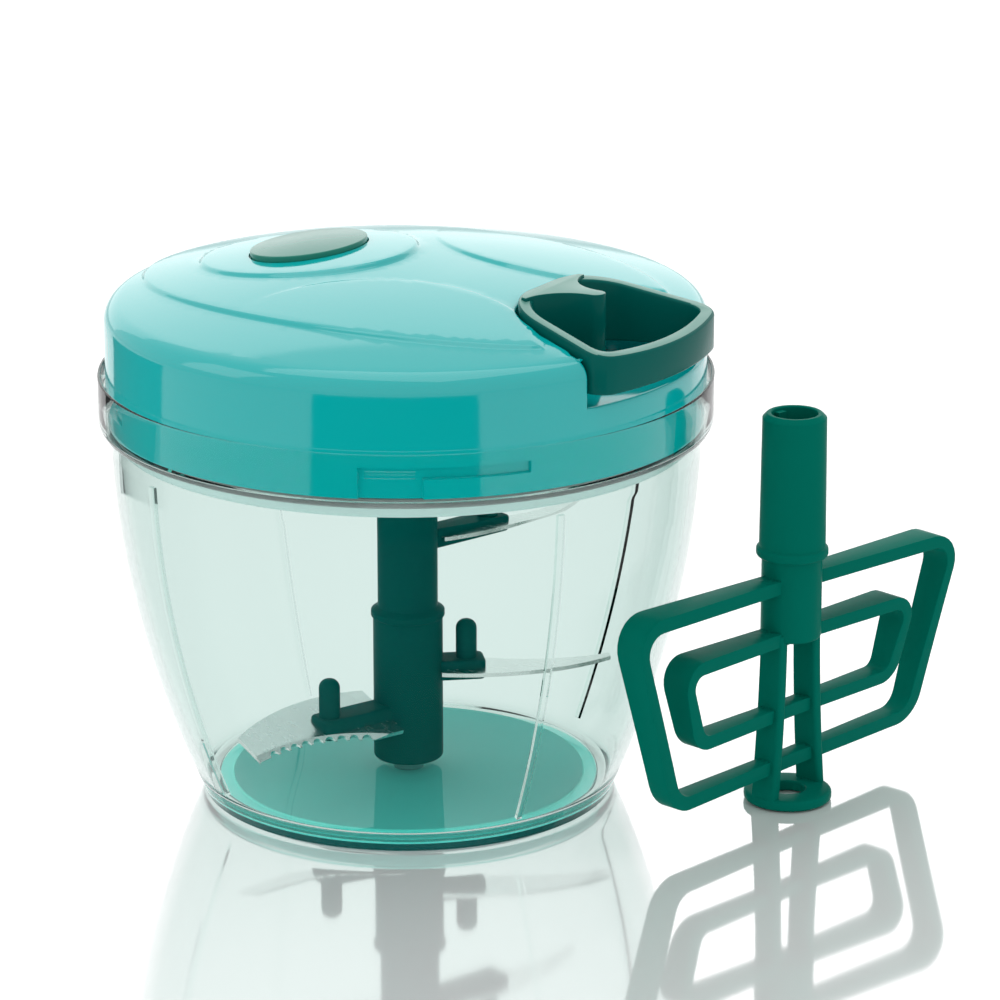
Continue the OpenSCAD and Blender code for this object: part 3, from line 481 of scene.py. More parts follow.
# %% Pad under the bowl
PAD_DISC_R, PAD_GRIP, PAD_EDGE_Z = 43.8, 0.25, 1.6
pad = turned("pad_disc", rounded([
    (0, 0, 0), (PAD_R + PAD_GRIP, 0, 0.4), (PAD_R + PAD_GRIP, PAD_EDGE_Z, 0.2), (PAD_DISC_R, PAD_EDGE_Z, 0.1),
    (PAD_DISC_R - 0.3, PAD_TOP + PAD_GRIP, 0.2), (0, PAD_TOP + PAD_GRIP, 0)]), 160)
smooth(pad, 40)
deliver(pad, "bowl", "teal_rubber", teal_rubber, "base_pad")
pad.data.materials.append(shaded_pad_edge)
# The outer faces take the darker material: painted shade on the pad's side
for face in pad.data.polygons:
    face.material_index = int(face.center.xy.length > (PAD_R - 0.3) * MM)

# %% [markdown]
# ## Blade unit
# A green moulding turns on the pin in the bowl's floor: a thick hub with a lip, a slimmer tube with the drive
# socket in its top and three arms that clasp the blades. The body is turned from one outline. The arms could
# be extruded from the hub's faces, but then they would have its curve at their root, so each is a bevelled
# bar that is united with the hub.

# %% Blade unit
UNIT_Z, STEP_Z, TUBE_TOP, HUB_R, TUBE_R = 6.5, 45.0, 101.0, 8.6, 7.4
BORE_R, BORE_TOP, SOCKET_R, SOCKET_LOW = 3.05, 26.3, 5.6, 86.0
ARM_W, ARM_T, PEG_R = 8.0, 5.0, 2.6
ARMS = {"top": (62.0, 72.0, 30.0, 25.5, 4.0), "middle": (29.0, 40.0, 19.0, 14.5, 9.5),
        "bottom": (19.0, 248.0, 27.0, 23.5, 9.5)}
SOCKET_RIB, DOG_W = 4.0, 2.6

unit = turned("blade_unit", rounded([
    (0, BORE_TOP, 0), (BORE_R, BORE_TOP, 0.2), (BORE_R, UNIT_Z, 0.3), (HUB_R, UNIT_Z, 0.8),
    (HUB_R, STEP_Z - 2.2, 0.3), (HUB_R + 0.5, STEP_Z - 1.9, 0.2), (HUB_R + 0.5, STEP_Z - 0.5, 0.4),
    (TUBE_R, STEP_Z + 0.6, 0.4),
    (TUBE_R, TUBE_TOP, 0.6), (SOCKET_R, TUBE_TOP, 0.4), (SOCKET_R, SOCKET_LOW, 0.3), (0, SOCKET_LOW, 0)]), 72)


def blade_arm(name, height, angle, reach, peg_x, peg_h):
    """A clasping bar along +X with a round-headed peg, turned to its angle about the axis."""
    outline = rounded([(HUB_R - 3, -ARM_W / 2, 0), (reach, -ARM_W / 2, 1.6), (reach, ARM_W / 2, 1.6),
                       (HUB_R - 3, ARM_W / 2, 0)], 4, closed=True)
    bar = slab(name, outline, height - ARM_T / 2, height + ARM_T / 2)
    round_edges(bar, 0.7)
    peg_top = height + peg_h + PEG_R
    peg = turned(name + "_peg", rounded([(0, height, 0), (PEG_R, height, 0), (PEG_R, peg_top, 2.2),
                                         (0, peg_top, 0)], 6), 32, (peg_x, 0))
    combine(bar, peg, "UNION")
    reshape(bar, lambda x, y, z: Matrix.Rotation(math.radians(angle), 3, "Z") @ Vector((x, y, z)))
    return bar


def add_socket_ribs(piece, low, high):
    """Two ribs in a drive socket, which the dog under the lid pushes against."""
    for side in (1, -1):
        near, far = sorted((side * SOCKET_RIB, side * (SOCKET_R + 0.6)))
        rib = slab("socket_rib", [(-DOG_W / 2, near), (DOG_W / 2, near), (DOG_W / 2, far), (-DOG_W / 2, far)],
                   low - 1, high - 0.8)
        combine(piece, rib, "UNION")


for arm, sizes in ARMS.items():
    combine(unit, blade_arm(arm + "_arm", *sizes), "UNION")
add_socket_ribs(unit, SOCKET_LOW, TUBE_TOP)
smooth(unit, 32)
# The blade unit takes the darker copy of the green: painted shade
deliver(unit, "blades", "green_plastic", shaded_unit_pp, "blade_spindle")

# %% [markdown]
# ## Lid
# The lid is the face of the chopper: a shallow dome with a raised oval panel, a round boss at the back, a
# hollow-sided channel from the boss to the handle and a notch that the handle docks in. Cutting these from a
# dome with booleans leaves ragged triangles that show in every reflection. So the skin is drawn flat, like a
# pattern for a cap: dome, edge and side wall are unrolled into one disc, each feature adds closely spaced
# lines along its own edge, a triangulation joins them, and a formula then lifts every point to its height.

# %% Lid: heights from a formula
LID_R, SKIRT_Z, CREST_Z, DOME_R, DOME_DROP, PANEL_STEP = 72.7, 95.0, 133.0, 71.0, 8.5, 0.8
CORNER_R = 5.0
PANEL_A, PANEL_B, BOSS_X, BOSS_ROUND, BOSS_RISE = 69.0, 50.0, -28.0, 26.5, 0.8
SPINE_X, SPINE_HALF, SPINE_CUT, SPINE_FADE = 23.0, 12.0, 40.0, 17.0
OVAL_A, OVAL_B, OVAL_DEEP = 17.0, 13.0, 1.6
NOTCH_GAP, NOTCH_Z, EDGE_ROUND = 0.6, 112.5, 0.7
GRIP_X, GRIP_W, GRIP_INNER_R, GRIP_INNER_Y, GRIP_CORNER_R, GRIP_CORNER_X = 38.2, 27.0, 16.0, 6.0, 7.0, 70.0
corner_x = LID_R - CORNER_R
CORNER_SWEEP = math.pi / 2 - math.atan(2 * DOME_DROP * corner_x / DOME_R ** 2)
rim_r = corner_x + CORNER_R * math.cos(CORNER_SWEEP)
corner_z = CREST_Z - DOME_DROP * (rim_r / DOME_R) ** 2 - CORNER_R * math.sin(CORNER_SWEEP) - PANEL_STEP
wall_start = rim_r + CORNER_R * CORNER_SWEEP
wall_end = wall_start + corner_z - SKIRT_Z


def step(distance, half_width):
    """Soft step from 0 to 1 across an edge, by the distance inside it."""
    t = np.clip(distance / (2 * half_width) + 0.5, 0, 1)
    return t * t * (3 - 2 * t)


def top_height(x, y):
    """Height of the lid's top, in arrays: dome, panel without the channel, boss and the oval's recess."""
    dome = CREST_Z - DOME_DROP * (x * x + y * y) / DOME_R ** 2
    q = np.hypot(x / PANEL_A, y / PANEL_B) + 1e-9
    in_panel = (1 - q) * q / np.hypot(x / PANEL_A ** 2, y / PANEL_B ** 2 + 1e-12)
    in_spine = np.hypot(x - SPINE_X, np.abs(y) - SPINE_HALF - SPINE_CUT) - SPINE_CUT
    hollow = step(in_spine, 0.8) * step(x + 3, SPINE_FADE)
    in_boss = BOSS_ROUND - np.hypot(x - BOSS_X, y)
    p = np.hypot((x - BOSS_X) / OVAL_B, y / OVAL_A) + 1e-9
    in_oval = (1 - p) * p / np.hypot((x - BOSS_X) / OVAL_B ** 2, y / OVAL_A ** 2 + 1e-12)
    height = dome - PANEL_STEP + PANEL_STEP * step(in_panel, 0.6) * (1 - hollow)
    height = height + (dome + BOSS_RISE - height) * step(in_boss, 0.7)
    return height - OVAL_DEEP * step(in_oval + 0.15, 0.15)


def skin_base(rho):
    """Radius, height and slope angle of the lid's edge and wall at a distance along the skin."""
    angle = np.clip(CORNER_SWEEP - (rho - rim_r) / CORNER_R, 0, CORNER_SWEEP)
    radius = np.where(rho > rim_r, corner_x + CORNER_R * np.cos(angle), rho)
    height = corner_z + CORNER_R * np.sin(angle) - np.maximum(rho - wall_start, 0)
    return radius, height, angle


print("lid: edge turns", round(math.degrees(CORNER_SWEEP)), "degrees; skin", round(wall_end, 1), "mm long")

# %% Lid: lines of the flat pattern


def hull_side(grow):
    """Upper half of the notch's plan outline, from the inner end outward, for the handle's outline grown."""
    inner_r, outer_r = GRIP_INNER_R + grow, GRIP_CORNER_R + grow
    inner = Vector((GRIP_X + GRIP_INNER_R, GRIP_INNER_Y))
    outer = Vector((GRIP_CORNER_X, GRIP_W - GRIP_CORNER_R))
    gap = outer - inner
    lean = math.atan2(gap.y, gap.x) + math.acos((inner_r - outer_r) / gap.length)
    side = [(inner.x - inner_r, y) for y in levels(0, GRIP_INNER_Y, 8)]
    side += [(inner.x + inner_r * math.cos(a), inner.y + inner_r * math.sin(a))
             for a in levels(math.pi, lean, 16)[1:]]
    start = Vector((inner.x + inner_r * math.cos(lean), inner.y + inner_r * math.sin(lean)))
    end = Vector((outer.x + outer_r * math.cos(lean), outer.y + outer_r * math.sin(lean)))
    return side + [tuple(start.lerp(end, t)) for t in levels(0, 1, 8)[1:]]


def notch_half(grow):
    """Upper half of the notch on the flat pattern: plan outline, then out over the edge and down the wall."""
    side = hull_side(NOTCH_GAP + grow)
    x0, y0 = side[-1]
    slope = (GRIP_W + NOTCH_GAP + grow - y0) / (GRIP_CORNER_X - x0 + 1e-9)
    points = [p for p in side if math.hypot(*p) < rim_r - 1.5]
    wide = []
    for rho in levels(rim_r - 0.8, wall_start, 9) + levels(wall_start, sill_rho + grow, 5)[1:]:
        radius = float(skin_base(np.array(rho))[0])
        x = math.sqrt(max(radius ** 2 - y0 ** 2, 0))
        y = min(GRIP_W + NOTCH_GAP + grow, y0 + max(slope, 0) * (x - x0))
        angle = math.asin(y / radius)
        wide.append((rho * math.cos(angle), rho * math.sin(angle)))
    return points + wide


def notch_loop(grow):
    half = notch_half(grow)
    rho = math.hypot(*half[-1])
    reach = math.atan2(half[-1][1], half[-1][0])
    sill = [(rho * math.cos(a), rho * math.sin(a)) for a in levels(reach, -reach, 24)[1:-1]]
    return half + sill + [(x, -y) for x, y in reversed(half[1:])]


def ring_loop(radius, count):
    return [(radius * math.cos(a), radius * math.sin(a)) for a in levels(0, math.tau, count)[:-1]]


def oval_loop(x, half_x, half_y, count):
    return [(x + half_x * math.cos(a), half_y * math.sin(a)) for a in levels(0, math.tau, count)[:-1]]


sill_rho = wall_start + corner_z - NOTCH_Z
closed_lines = [notch_loop(g) for g in (0, 0.08, 0.25, 0.5, EDGE_ROUND)]
closed_lines += [oval_loop(0, PANEL_A + g, PANEL_B + g, 320) for g in (-0.8, -0.4, -0.15, 0.15, 0.4, 0.8)]
closed_lines += [oval_loop(BOSS_X, BOSS_ROUND + g, BOSS_ROUND + g, 160)
                 for g in (-0.9, -0.5, -0.2, 0.1, 0.4, 0.8)]
closed_lines += [oval_loop(BOSS_X, OVAL_B + g, OVAL_A + g, 120) for g in (-0.5, -0.15, 0.0, 0.15, 0.3, 0.8)]
closed_lines += [ring_loop(r, 260) for r in levels(rim_r, wall_start, 7)]
closed_lines += [ring_loop(r, 260) for r in levels(wall_start, wall_end, 11)[1:]]
open_lines = []
for side in (1, -1):
    for g in (-0.9, -0.5, -0.2, 0.2, 0.5, 0.9):
        radius = SPINE_CUT + g
        start, end = math.radians(-160), math.radians(-62)
        middle = SPINE_HALF + SPINE_CUT
        open_lines.append([(SPINE_X + radius * math.cos(a), side * (middle + radius * math.sin(a)))
                           for a in levels(start, end, 56)])
print("flat pattern:", len(closed_lines), "closed lines and", len(open_lines), "open ones")

# %% Lid: bayonet tracks on the wall
TRACK_DEEP, TRACK_LOW, TRACK_HIGH, ENTRY_HALF, LOCK_SWEEP, TRACK_EDGE = 0.9, 99.6, 102.4, 6.0, 20.0, 0.3


def track_depth(angle, z):
    """Depth of the bayonet track at places on the wall, by angle in degrees and height."""
    local = (angle - NUB_FIRST + 45) % 90 - 45
    across = math.radians(1) * LID_R
    entry = np.minimum((ENTRY_HALF - np.abs(local)) * across, TRACK_HIGH - z)
    run = np.minimum(np.minimum((local + ENTRY_HALF) * across, (ENTRY_HALF + LOCK_SWEEP - local) * across),
                     np.minimum(TRACK_HIGH - z, z - TRACK_LOW))
    return TRACK_DEEP * np.clip(np.maximum(entry, run) / TRACK_EDGE, 0, 1)


def track_loop(turn, inset):
    """Outline of one track on the flat pattern: entry slot from below and the locking run beside it."""
    edge = math.degrees(inset / LID_R)
    stop = ENTRY_HALF + LOCK_SWEEP - edge
    corners = [(-ENTRY_HALF + edge, SKIRT_Z - 1), (-ENTRY_HALF + edge, TRACK_HIGH - inset),
               (stop, TRACK_HIGH - inset), (stop, TRACK_LOW + inset), (ENTRY_HALF - edge, TRACK_LOW + inset),
               (ENTRY_HALF - edge, SKIRT_Z - 1)]
    points = []
    for (a0, z0), (a1, z1) in zip(corners, corners[1:]):
        count = max(2, int(abs(a1 - a0)), int(abs(z1 - z0)))
        points += [(a0 + (a1 - a0) * i / count, z0 + (z1 - z0) * i / count) for i in range(count)]
    points.append(corners[-1])
    flat = []
    for a, z in points:
        rho = min(wall_start + corner_z - z, wall_end)
        flat.append((rho * math.cos(math.radians(turn + a)), rho * math.sin(math.radians(turn + a))))
    return flat


for quarter in range(4):
    open_lines += [track_loop(NUB_FIRST + 90 * quarter, inset) for inset in (0.0, TRACK_EDGE)]
print("bayonet tracks: 4 at", NUB_FIRST, "degrees and every quarter turn on")

# %% Lid: triangulate the pattern and lift it
FILL_MM = 2.0
points, edges = [], []
for line, closed in [(l, True) for l in closed_lines] + [(l, False) for l in open_lines]:
    first = len(points)
    points += [Vector(p) for p in line]
    edges += [(first + i, first + i + 1) for i in range(len(line) - 1)]
    if closed:
        edges.append((len(points) - 1, first))
tree_2d = kdtree.KDTree(len(points))
for i, point in enumerate(points):
    tree_2d.insert(point.to_3d(), i)
tree_2d.balance()
rows = int(rim_r / (FILL_MM * 0.866)) + 1
for row in range(-rows, rows + 1):
    for column in range(-rows, rows + 1):
        spot = Vector(((column + 0.5 * (row % 2)) * FILL_MM, row * FILL_MM * 0.866))
        if spot.length < rim_r - 1 and tree_2d.find(spot.to_3d())[2] > 0.6 * FILL_MM:
            points.append(spot)
flat_points, _, flat_faces, _, _, _ = geometry.delaunay_2d_cdt(points, edges, [], 0, 1e-5)

flat = np.array([tuple(p) for p in flat_points])
edge_line = np.array(notch_loop(0))
edge_next = np.roll(edge_line, -1, axis=0)


def notch_distance(spots):
    """Distance from flat points to the notch's edge, and whether they are inside it."""
    along = edge_next - edge_line
    t = np.clip(((spots[:, None] - edge_line) * along).sum(2) / (along ** 2).sum(1), 0, 1)
    distance = np.linalg.norm(spots[:, None] - edge_line - t[..., None] * along, axis=2).min(1)
    above = (edge_line[:, 1] > spots[:, 1:2]) != (edge_next[:, 1] > spots[:, 1:2])
    cross = edge_line[:, 0] + (spots[:, 1:2] - edge_line[:, 1]) * along[:, 0] / (along[:, 1] + 1e-12)
    return distance, (above & (spots[:, 0:1] < cross)).sum(1) % 2 == 1


middles = np.array([flat[list(f)].mean(0) for f in flat_faces])
kept_faces = [f for f, inside in zip(flat_faces, notch_distance(middles)[1]) if not inside]
rho = np.hypot(flat[:, 0], flat[:, 1])
radius, height, slope = skin_base(rho)
turn = np.arctan2(flat[:, 1], flat[:, 0])
on_top = rho <= rim_r
track = np.where(rho > wall_start, track_depth(np.degrees(turn), height), 0)
drop = np.clip(EDGE_ROUND - notch_distance(flat)[0], 0, EDGE_ROUND)
drop = EDGE_ROUND - np.sqrt(EDGE_ROUND ** 2 - drop ** 2) + track
lean = np.where(on_top, math.pi / 2, slope)
radius = radius - drop * np.cos(lean)
height = np.where(on_top, top_height(flat[:, 0], flat[:, 1]), height) - drop * np.sin(lean)
lifted = np.stack([radius * np.cos(turn), radius * np.sin(turn), height], 1)
print("lid skin:", len(lifted), "points,", len(kept_faces), "triangles")

# %% Lid: walls and floor of the notch, then thickness
half = notch_half(0)
plan_count = len(half) - 5
wall_rows = 5
lookup = kdtree.KDTree(len(flat))
for i, spot in enumerate(flat):
    lookup.insert((spot[0], spot[1], 0), i)
lookup.balance()
vertices = [tuple(p) for p in lifted]
faces = [tuple(f) for f in kept_faces]
edge_points = notch_loop(0)
edge_index = [lookup.find((x, y, 0))[1] for x, y in edge_points]
count = len(edge_points)
way = list(range(plan_count - 1, 0, -1)) + [0] + [count - k for k in range(1, plan_count)]
columns = []
for place in way:
    top = edge_index[place]
    column = [top]
    if place in (plan_count - 1, count - plan_count + 1):
        direction = 1 if place == plan_count - 1 else -1
        column += [edge_index[(place + direction * k) % count] for k in range(1, wall_rows + 1)]
    else:
        x, y, z = vertices[top]
        for k in range(1, wall_rows + 1):
            vertices.append((x, y, z + (NOTCH_Z - z) * k / wall_rows))
            column.append(len(vertices) - 1)
    columns.append(column)
for left, right in zip(columns, columns[1:]):
    faces += [(left[k], left[k + 1], right[k + 1], right[k]) for k in range(wall_rows)]
sill = [edge_index[k] for k in range(plan_count + wall_rows, count - plan_count - wall_rows + 1)]
faces.append(tuple([column[-1] for column in columns] + list(reversed(sill))))
used = sorted({i for f in faces for i in f})
place_of = {old: new for new, old in enumerate(used)}
mesh = bpy.data.meshes.new("lid_skin")
mesh.from_pydata([Vector(vertices[i]) * MM for i in used], [], [[place_of[i] for i in f] for f in faces])
lid = bpy.data.objects.new("lid_dome", mesh)
bpy.context.scene.collection.objects.link(lid)
pick(lid)
bpy.ops.object.mode_set(mode="EDIT")
weld()
bpy.ops.object.mode_set(mode="OBJECT")
print("lid:", len(lid.data.polygons), "faces before it gets its thickness")

# %% [markdown]
# The skin now becomes a real shell by Solidify, and the small hole for the cord's eyelet is cut through the
# notch's wall. That cut lies in a flat face, so a boolean does no harm there.

# %% Lid: shell and eyelet hole
LID_WALL, CORD_Z, EYELET_R, EYELET_X = 2.0, 120.5, 2.4, 35.0
modify(lid, "SOLIDIFY", thickness=LID_WALL * MM, offset=-1.0)
hole = turned("eyelet_hole", [(0, -4), (EYELET_R, -4), (EYELET_R, 4), (0, 4)], 32)
reshape(hole, lambda x, y, z: (EYELET_X + 1 + z, y, CORD_Z - x))
combine(lid, hole, "DIFFERENCE")
smooth(lid, 38)
deliver(lid, "lid", "turquoise_plastic", turquoise_abs, "lid_shell")

# %% [markdown]
# ## Oval insert
# On the boss sits a blank, slightly domed oval. A flattened sphere would have no edge, so it is turned as a
# thick button with a small round at its rim, then squeezed to an oval and tilted with the dome.

# %% Oval insert
OVAL_T, OVAL_CROWN = 2.5, 0.9
boss_tilt = math.atan(2 * DOME_DROP * -BOSS_X / DOME_R ** 2)
boss_z = CREST_Z - DOME_DROP * (BOSS_X / DOME_R) ** 2 + BOSS_RISE
crown = [(OVAL_A * t, OVAL_T - OVAL_DEEP + OVAL_CROWN * (1 - t * t)) for t in levels(0, 0.97, 12)]
rim = rounded([crown[-1] + (0,), (OVAL_A - 0.05, OVAL_T - OVAL_DEEP, 0.35),
               (OVAL_A - 0.05, 0.15 - OVAL_DEEP, 0.1), (0, 0.15 - OVAL_DEEP, 0)])
oval = turned("oval_blank", crown + rim[1:], 96)


def onto_boss(x, y, z):
    place = Matrix.Rotation(-boss_tilt, 3, "Y") @ Vector((x * OVAL_B / OVAL_A, y, z))
    return place + Vector((BOSS_X, 0, boss_z))


reshape(oval, onto_boss)
smooth(oval, 40)
deliver(oval, "lid", "green_plastic", oval_pp, "oval_insert")

# %% [markdown]
# ## Pull handle
# The handle is a sloping loop for two fingers, with a level tongue inside that holds the cord's end.
# A bent bar could make the loop, but its wall stands upright and its rim slopes, so it is a drawn outline,
# extruded and cut by the sloping plane of its top, minus the finger opening: the wall then has the same
# thickness all round. A bevel on its edges gives the soft rim that the fingers feel.

# %% Pull handle
GRIP_Z, GRIP_APEX_Z, GRIP_TILT, GRIP_WALL, BOW_R = 115.5, 132.0, math.radians(12.5), 3.3, 75.8
TONGUE_END, TONGUE_R, TONGUE_FLARE, TONGUE_INSET, RIM_ROUND = 55.5, 2.4, 11.0, 0.7, 0.6
KNOT_R, KNOT_X, CORD_R = 2.3, 49.5, 0.7


def grip_half(grow, bow, corner_round):
    """Upper half of the handle's outline, from the inner end round to the middle of its bowed front."""
    outer_r = GRIP_CORNER_R + grow
    outer = Vector((GRIP_CORNER_X, GRIP_W - GRIP_CORNER_R))
    side = hull_side(grow)
    side += [(outer.x + outer_r * math.cos(a), outer.y + outer_r * math.sin(a))
             for a in levels(math.atan2(side[-1][1] - outer.y, side[-1][0] - outer.x), 0, 24)[1:]]
    inside = [p for p in side if math.hypot(*p) < bow]
    last, beyond = Vector(inside[-1]), Vector(side[len(inside)])
    corner = last.lerp(beyond, (bow - last.length) / (beyond.length - last.length))
    front = [(bow * math.cos(a), bow * math.sin(a)) for a in levels(math.atan2(corner.y, corner.x), 0, 20)]
    back_part = [p for p in inside if (Vector(p) - corner).length > corner_round]
    front_part = [p for p in front if (Vector(p) - corner).length > corner_round]
    turn = rounded([back_part[-1] + (0,), (corner.x, corner.y, corner_round), front_part[0] + (0,)], 6)
    return back_part + turn[1:-1] + front_part


def tongue_half():
    """Upper half of the tongue's outline: narrow tip, hollow flank and a root that follows the loop."""
    tip_x = TONGUE_END - TONGUE_R
    tip = [(tip_x + TONGUE_R * math.cos(a), TONGUE_R * math.sin(a)) for a in levels(0, math.pi / 2, 8)]
    flank = [(tip_x + TONGUE_FLARE * math.cos(a), TONGUE_R + TONGUE_FLARE * (1 + math.sin(a)))
             for a in levels(-math.pi / 2, -math.pi, 16)[1:]]
    root = [p for p in hull_side(-TONGUE_INSET) if p[1] < flank[-1][1]]
    return tip + flank + root[::-1]


def mirrored(half):
    """A closed outline from its upper half, whose first and last point lie on the middle line."""
    return half + [(x, -y) for x, y in reversed(half[1:-1])]


handle = slab("pull_handle_loop", mirrored(grip_half(0, BOW_R, 5.0)), GRIP_Z, GRIP_APEX_Z + 2)
pick(handle)
bpy.ops.object.mode_set(mode="EDIT")
bpy.ops.mesh.select_all(action="SELECT")
bpy.ops.mesh.bisect(plane_co=(GRIP_X * MM, 0, GRIP_APEX_Z * MM),
                    plane_no=(math.sin(GRIP_TILT), 0, math.cos(GRIP_TILT)), use_fill=True, clear_outer=True)
weld()
bpy.ops.object.mode_set(mode="OBJECT")
inside_outline = mirrored(grip_half(-GRIP_WALL, BOW_R - GRIP_WALL, 3.0))
opening = slab("finger_opening", inside_outline, GRIP_Z - 5, GRIP_APEX_Z + 5)
combine(handle, opening, "DIFFERENCE")
round_edges(handle, RIM_ROUND, 3, 50)
tongue = slab("tongue", mirrored(tongue_half()), GRIP_Z + 0.6, GRIP_APEX_Z)
round_edges(tongue, RIM_ROUND / 2, 3, 50)
combine(handle, tongue, "UNION")
way_in = turned("cord_bore", [(0, -14), (CORD_R + 0.4, -14), (CORD_R + 0.4, 0), (0, 0)], 24)
reshape(way_in, lambda x, y, z: (KNOT_X + z, y, CORD_Z - x))
combine(handle, way_in, "DIFFERENCE")
smooth(handle, 32)
deliver(handle, "handle", "green_plastic", green_pp, "pull_handle")
handle.data.materials.append(grained_top_lit_pp)
# Upward faces of the rim and tongue take the paler material: painted top light
for face in handle.data.polygons:
    face.material_index = int(face.normal.z > 0.93 and face.center.z > CORD_Z * MM)

# %% [markdown]
# ## Cord
# The cord runs from the drum through the eyelet to a stop in the handle's tongue. The real one stretches
# between lid and handle as the handle is pulled; this one is drawn at rest, with many points along the pull.
# A spun ring could be extruded from point to point, but a curve with a round bevel keeps the tube round
# through the bends.

# %% Cord and winding
WINDING_R, WINDING_PITCH, CORD_TURNS, BEND_X = 18.0, 1.9, 3.25, 33.6
lead_angle = -math.acos(WINDING_R / BEND_X)


def tube(name, path, radius, sides):
    """A round tube along a path of points, made as a curve with a round bevel and turned into a mesh."""
    curve = bpy.data.curves.new(name, "CURVE")
    curve.dimensions = "3D"
    curve.bevel_depth = radius * MM
    curve.bevel_resolution = sides // 4
    curve.use_fill_caps = True
    line = curve.splines.new("POLY")
    line.points.add(len(path) - 1)
    for spot, point in zip(line.points, path):
        spot.co = (*(Vector(point) * MM), 1)
    piece = bpy.data.objects.new(name, curve)
    bpy.context.scene.collection.objects.link(piece)
    pick(piece)
    bpy.ops.object.convert(target="MESH")
    return bpy.context.object


leave = Vector((WINDING_R * math.cos(lead_angle), WINDING_R * math.sin(lead_angle), CORD_Z))
bend = Vector((BEND_X, 0, CORD_Z))
lead = [leave.lerp(bend, t) for t in levels(0.12, 0.97, 12)]
run = [(x, 0, CORD_Z) for x in levels(BEND_X + 0.3, KNOT_X + KNOT_R + 0.8, 48)]
cord = tube("pull_cord_braid", lead + run, CORD_R, 12)
smooth(cord, 60)
cord.data.materials.append(braided_cord)
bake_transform(cord)
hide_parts("pull_cord")

turns = []
for angle in levels(lead_angle - math.tau * CORD_TURNS, lead_angle, int(CORD_TURNS * 48)):
    rise = (angle - lead_angle) / math.tau * WINDING_PITCH
    turns.append((WINDING_R * math.cos(angle), WINDING_R * math.sin(angle), CORD_Z + rise))
winding = tube("cord_turns", turns, CORD_R, 12)
smooth(winding, 60)
deliver(winding, "reel", "cord_fibre", braided_cord, "cord_winding")

knot = turned("cord_stop", rounded([(0, -KNOT_R, 0), (KNOT_R, -KNOT_R, 1.6), (KNOT_R, KNOT_R, 1.6),
                                    (0, KNOT_R, 0)], 8), 32)
reshape(knot, lambda x, y, z: (KNOT_X + z, y, CORD_Z - x))
smooth(knot, 40)
deliver(knot, "handle", "cord_fibre", braided_cord, "cord_knot")
cord_length = (bend - leave).length + KNOT_X - BEND_X + CORD_TURNS * math.tau * WINDING_R
print("cord:", round(cord_length), "mm from drum to stop")

# %% [markdown]
# ## Whisk
# The whisk insert has a socket tube, a bead, two legs on a holed foot ring and two nested loops of flat bars,
# which twist slightly and are narrower at the tube. A loop could be a bent strip, but its corners would thin
# out, so each is the band between two rounded outlines: both are drawn, bridged, extruded and rounded.

# %% Whisk
WHISK = (86.52, 37.69)
WHISK_H, WHISK_STEP, WHISK_TURN, WHISK_TWIST, TWIST_H = 98.5, 63.8, 80.2, 6.0, 60.0
BAR_D, BAR_ROOT, BAR_T = 9.0, 6.0, 3.4
LEG_TOP, FOOT_RING_R, FOOT_RING_T, FOOT_HOLE_R = 42.0, 10.8, 2.6, 4.4
LEG_T, LEG_W, LEG_LOW, LEG_IN, LEG_BOW, LEG_SPREAD = 2.8, 7.2, 1.2, 5.9, 1.9, 1.2
LOW_TUBE_R, BEAD_R, HIGH_TUBE_R, RIM_CHAMFER = 7.4, 8.8, 7.8, 1.1
LOOPS = {"outer": (58.0, 8.7, 57.5, 47.0, 8.5), "inner": (44.6, 21.8, 42.2, 37.4, 6.5)}
BAR_TAPER = 0.35
WHISK_SOCKET = 16.0


def loop_band(name, top, low, top_reach, low_reach, corner):
    """One loop: two outlines drawn in the upright plane, bridged to a band and extruded to its depth."""
    rims = []
    for inset in (0, BAR_T):
        corners = [(top_reach - inset, top - inset), (-top_reach + inset, top - inset),
                   (-low_reach + inset, low + inset), (low_reach - inset, low + inset)]
        line = rounded([(x, z, corner - inset) for x, z in corners], 8, closed=True)
        rims.append(drawn_line(name, [(x, -BAR_D / 2, z) for x, z in line + line[:1]]))
        weld()
    deselect()
    band = join(rims[0], rims[1:])
    bpy.ops.object.mode_set(mode="EDIT")
    bpy.ops.mesh.select_all(action="SELECT")
    bpy.ops.mesh.bridge_edge_loops()
    bpy.ops.mesh.select_all(action="SELECT")
    bpy.ops.mesh.extrude_region_move(TRANSFORM_OT_translate={"value": (0, BAR_D * MM, 0)})
    weld()
    for axis, spots in (((1, 0, 0), levels(-54, 54, 18)), ((0, 0, 1), levels(low + 6, top - 6, 6))):
        for spot in spots:
            bpy.ops.mesh.select_all(action="SELECT")
            bpy.ops.mesh.bisect(plane_co=[spot * MM * a for a in axis], plane_no=axis)
    bpy.ops.object.mode_set(mode="OBJECT")
    round_edges(band, 0.9, 3, 50)

    def narrowed(x, y, z):
        depth = BAR_ROOT + (BAR_D - BAR_ROOT) * min(abs(x) / top_reach, 1)
        return x, y * depth / BAR_D * (1 - BAR_TAPER * (top - z) / (top - low)), z

    reshape(band, narrowed)
    return band


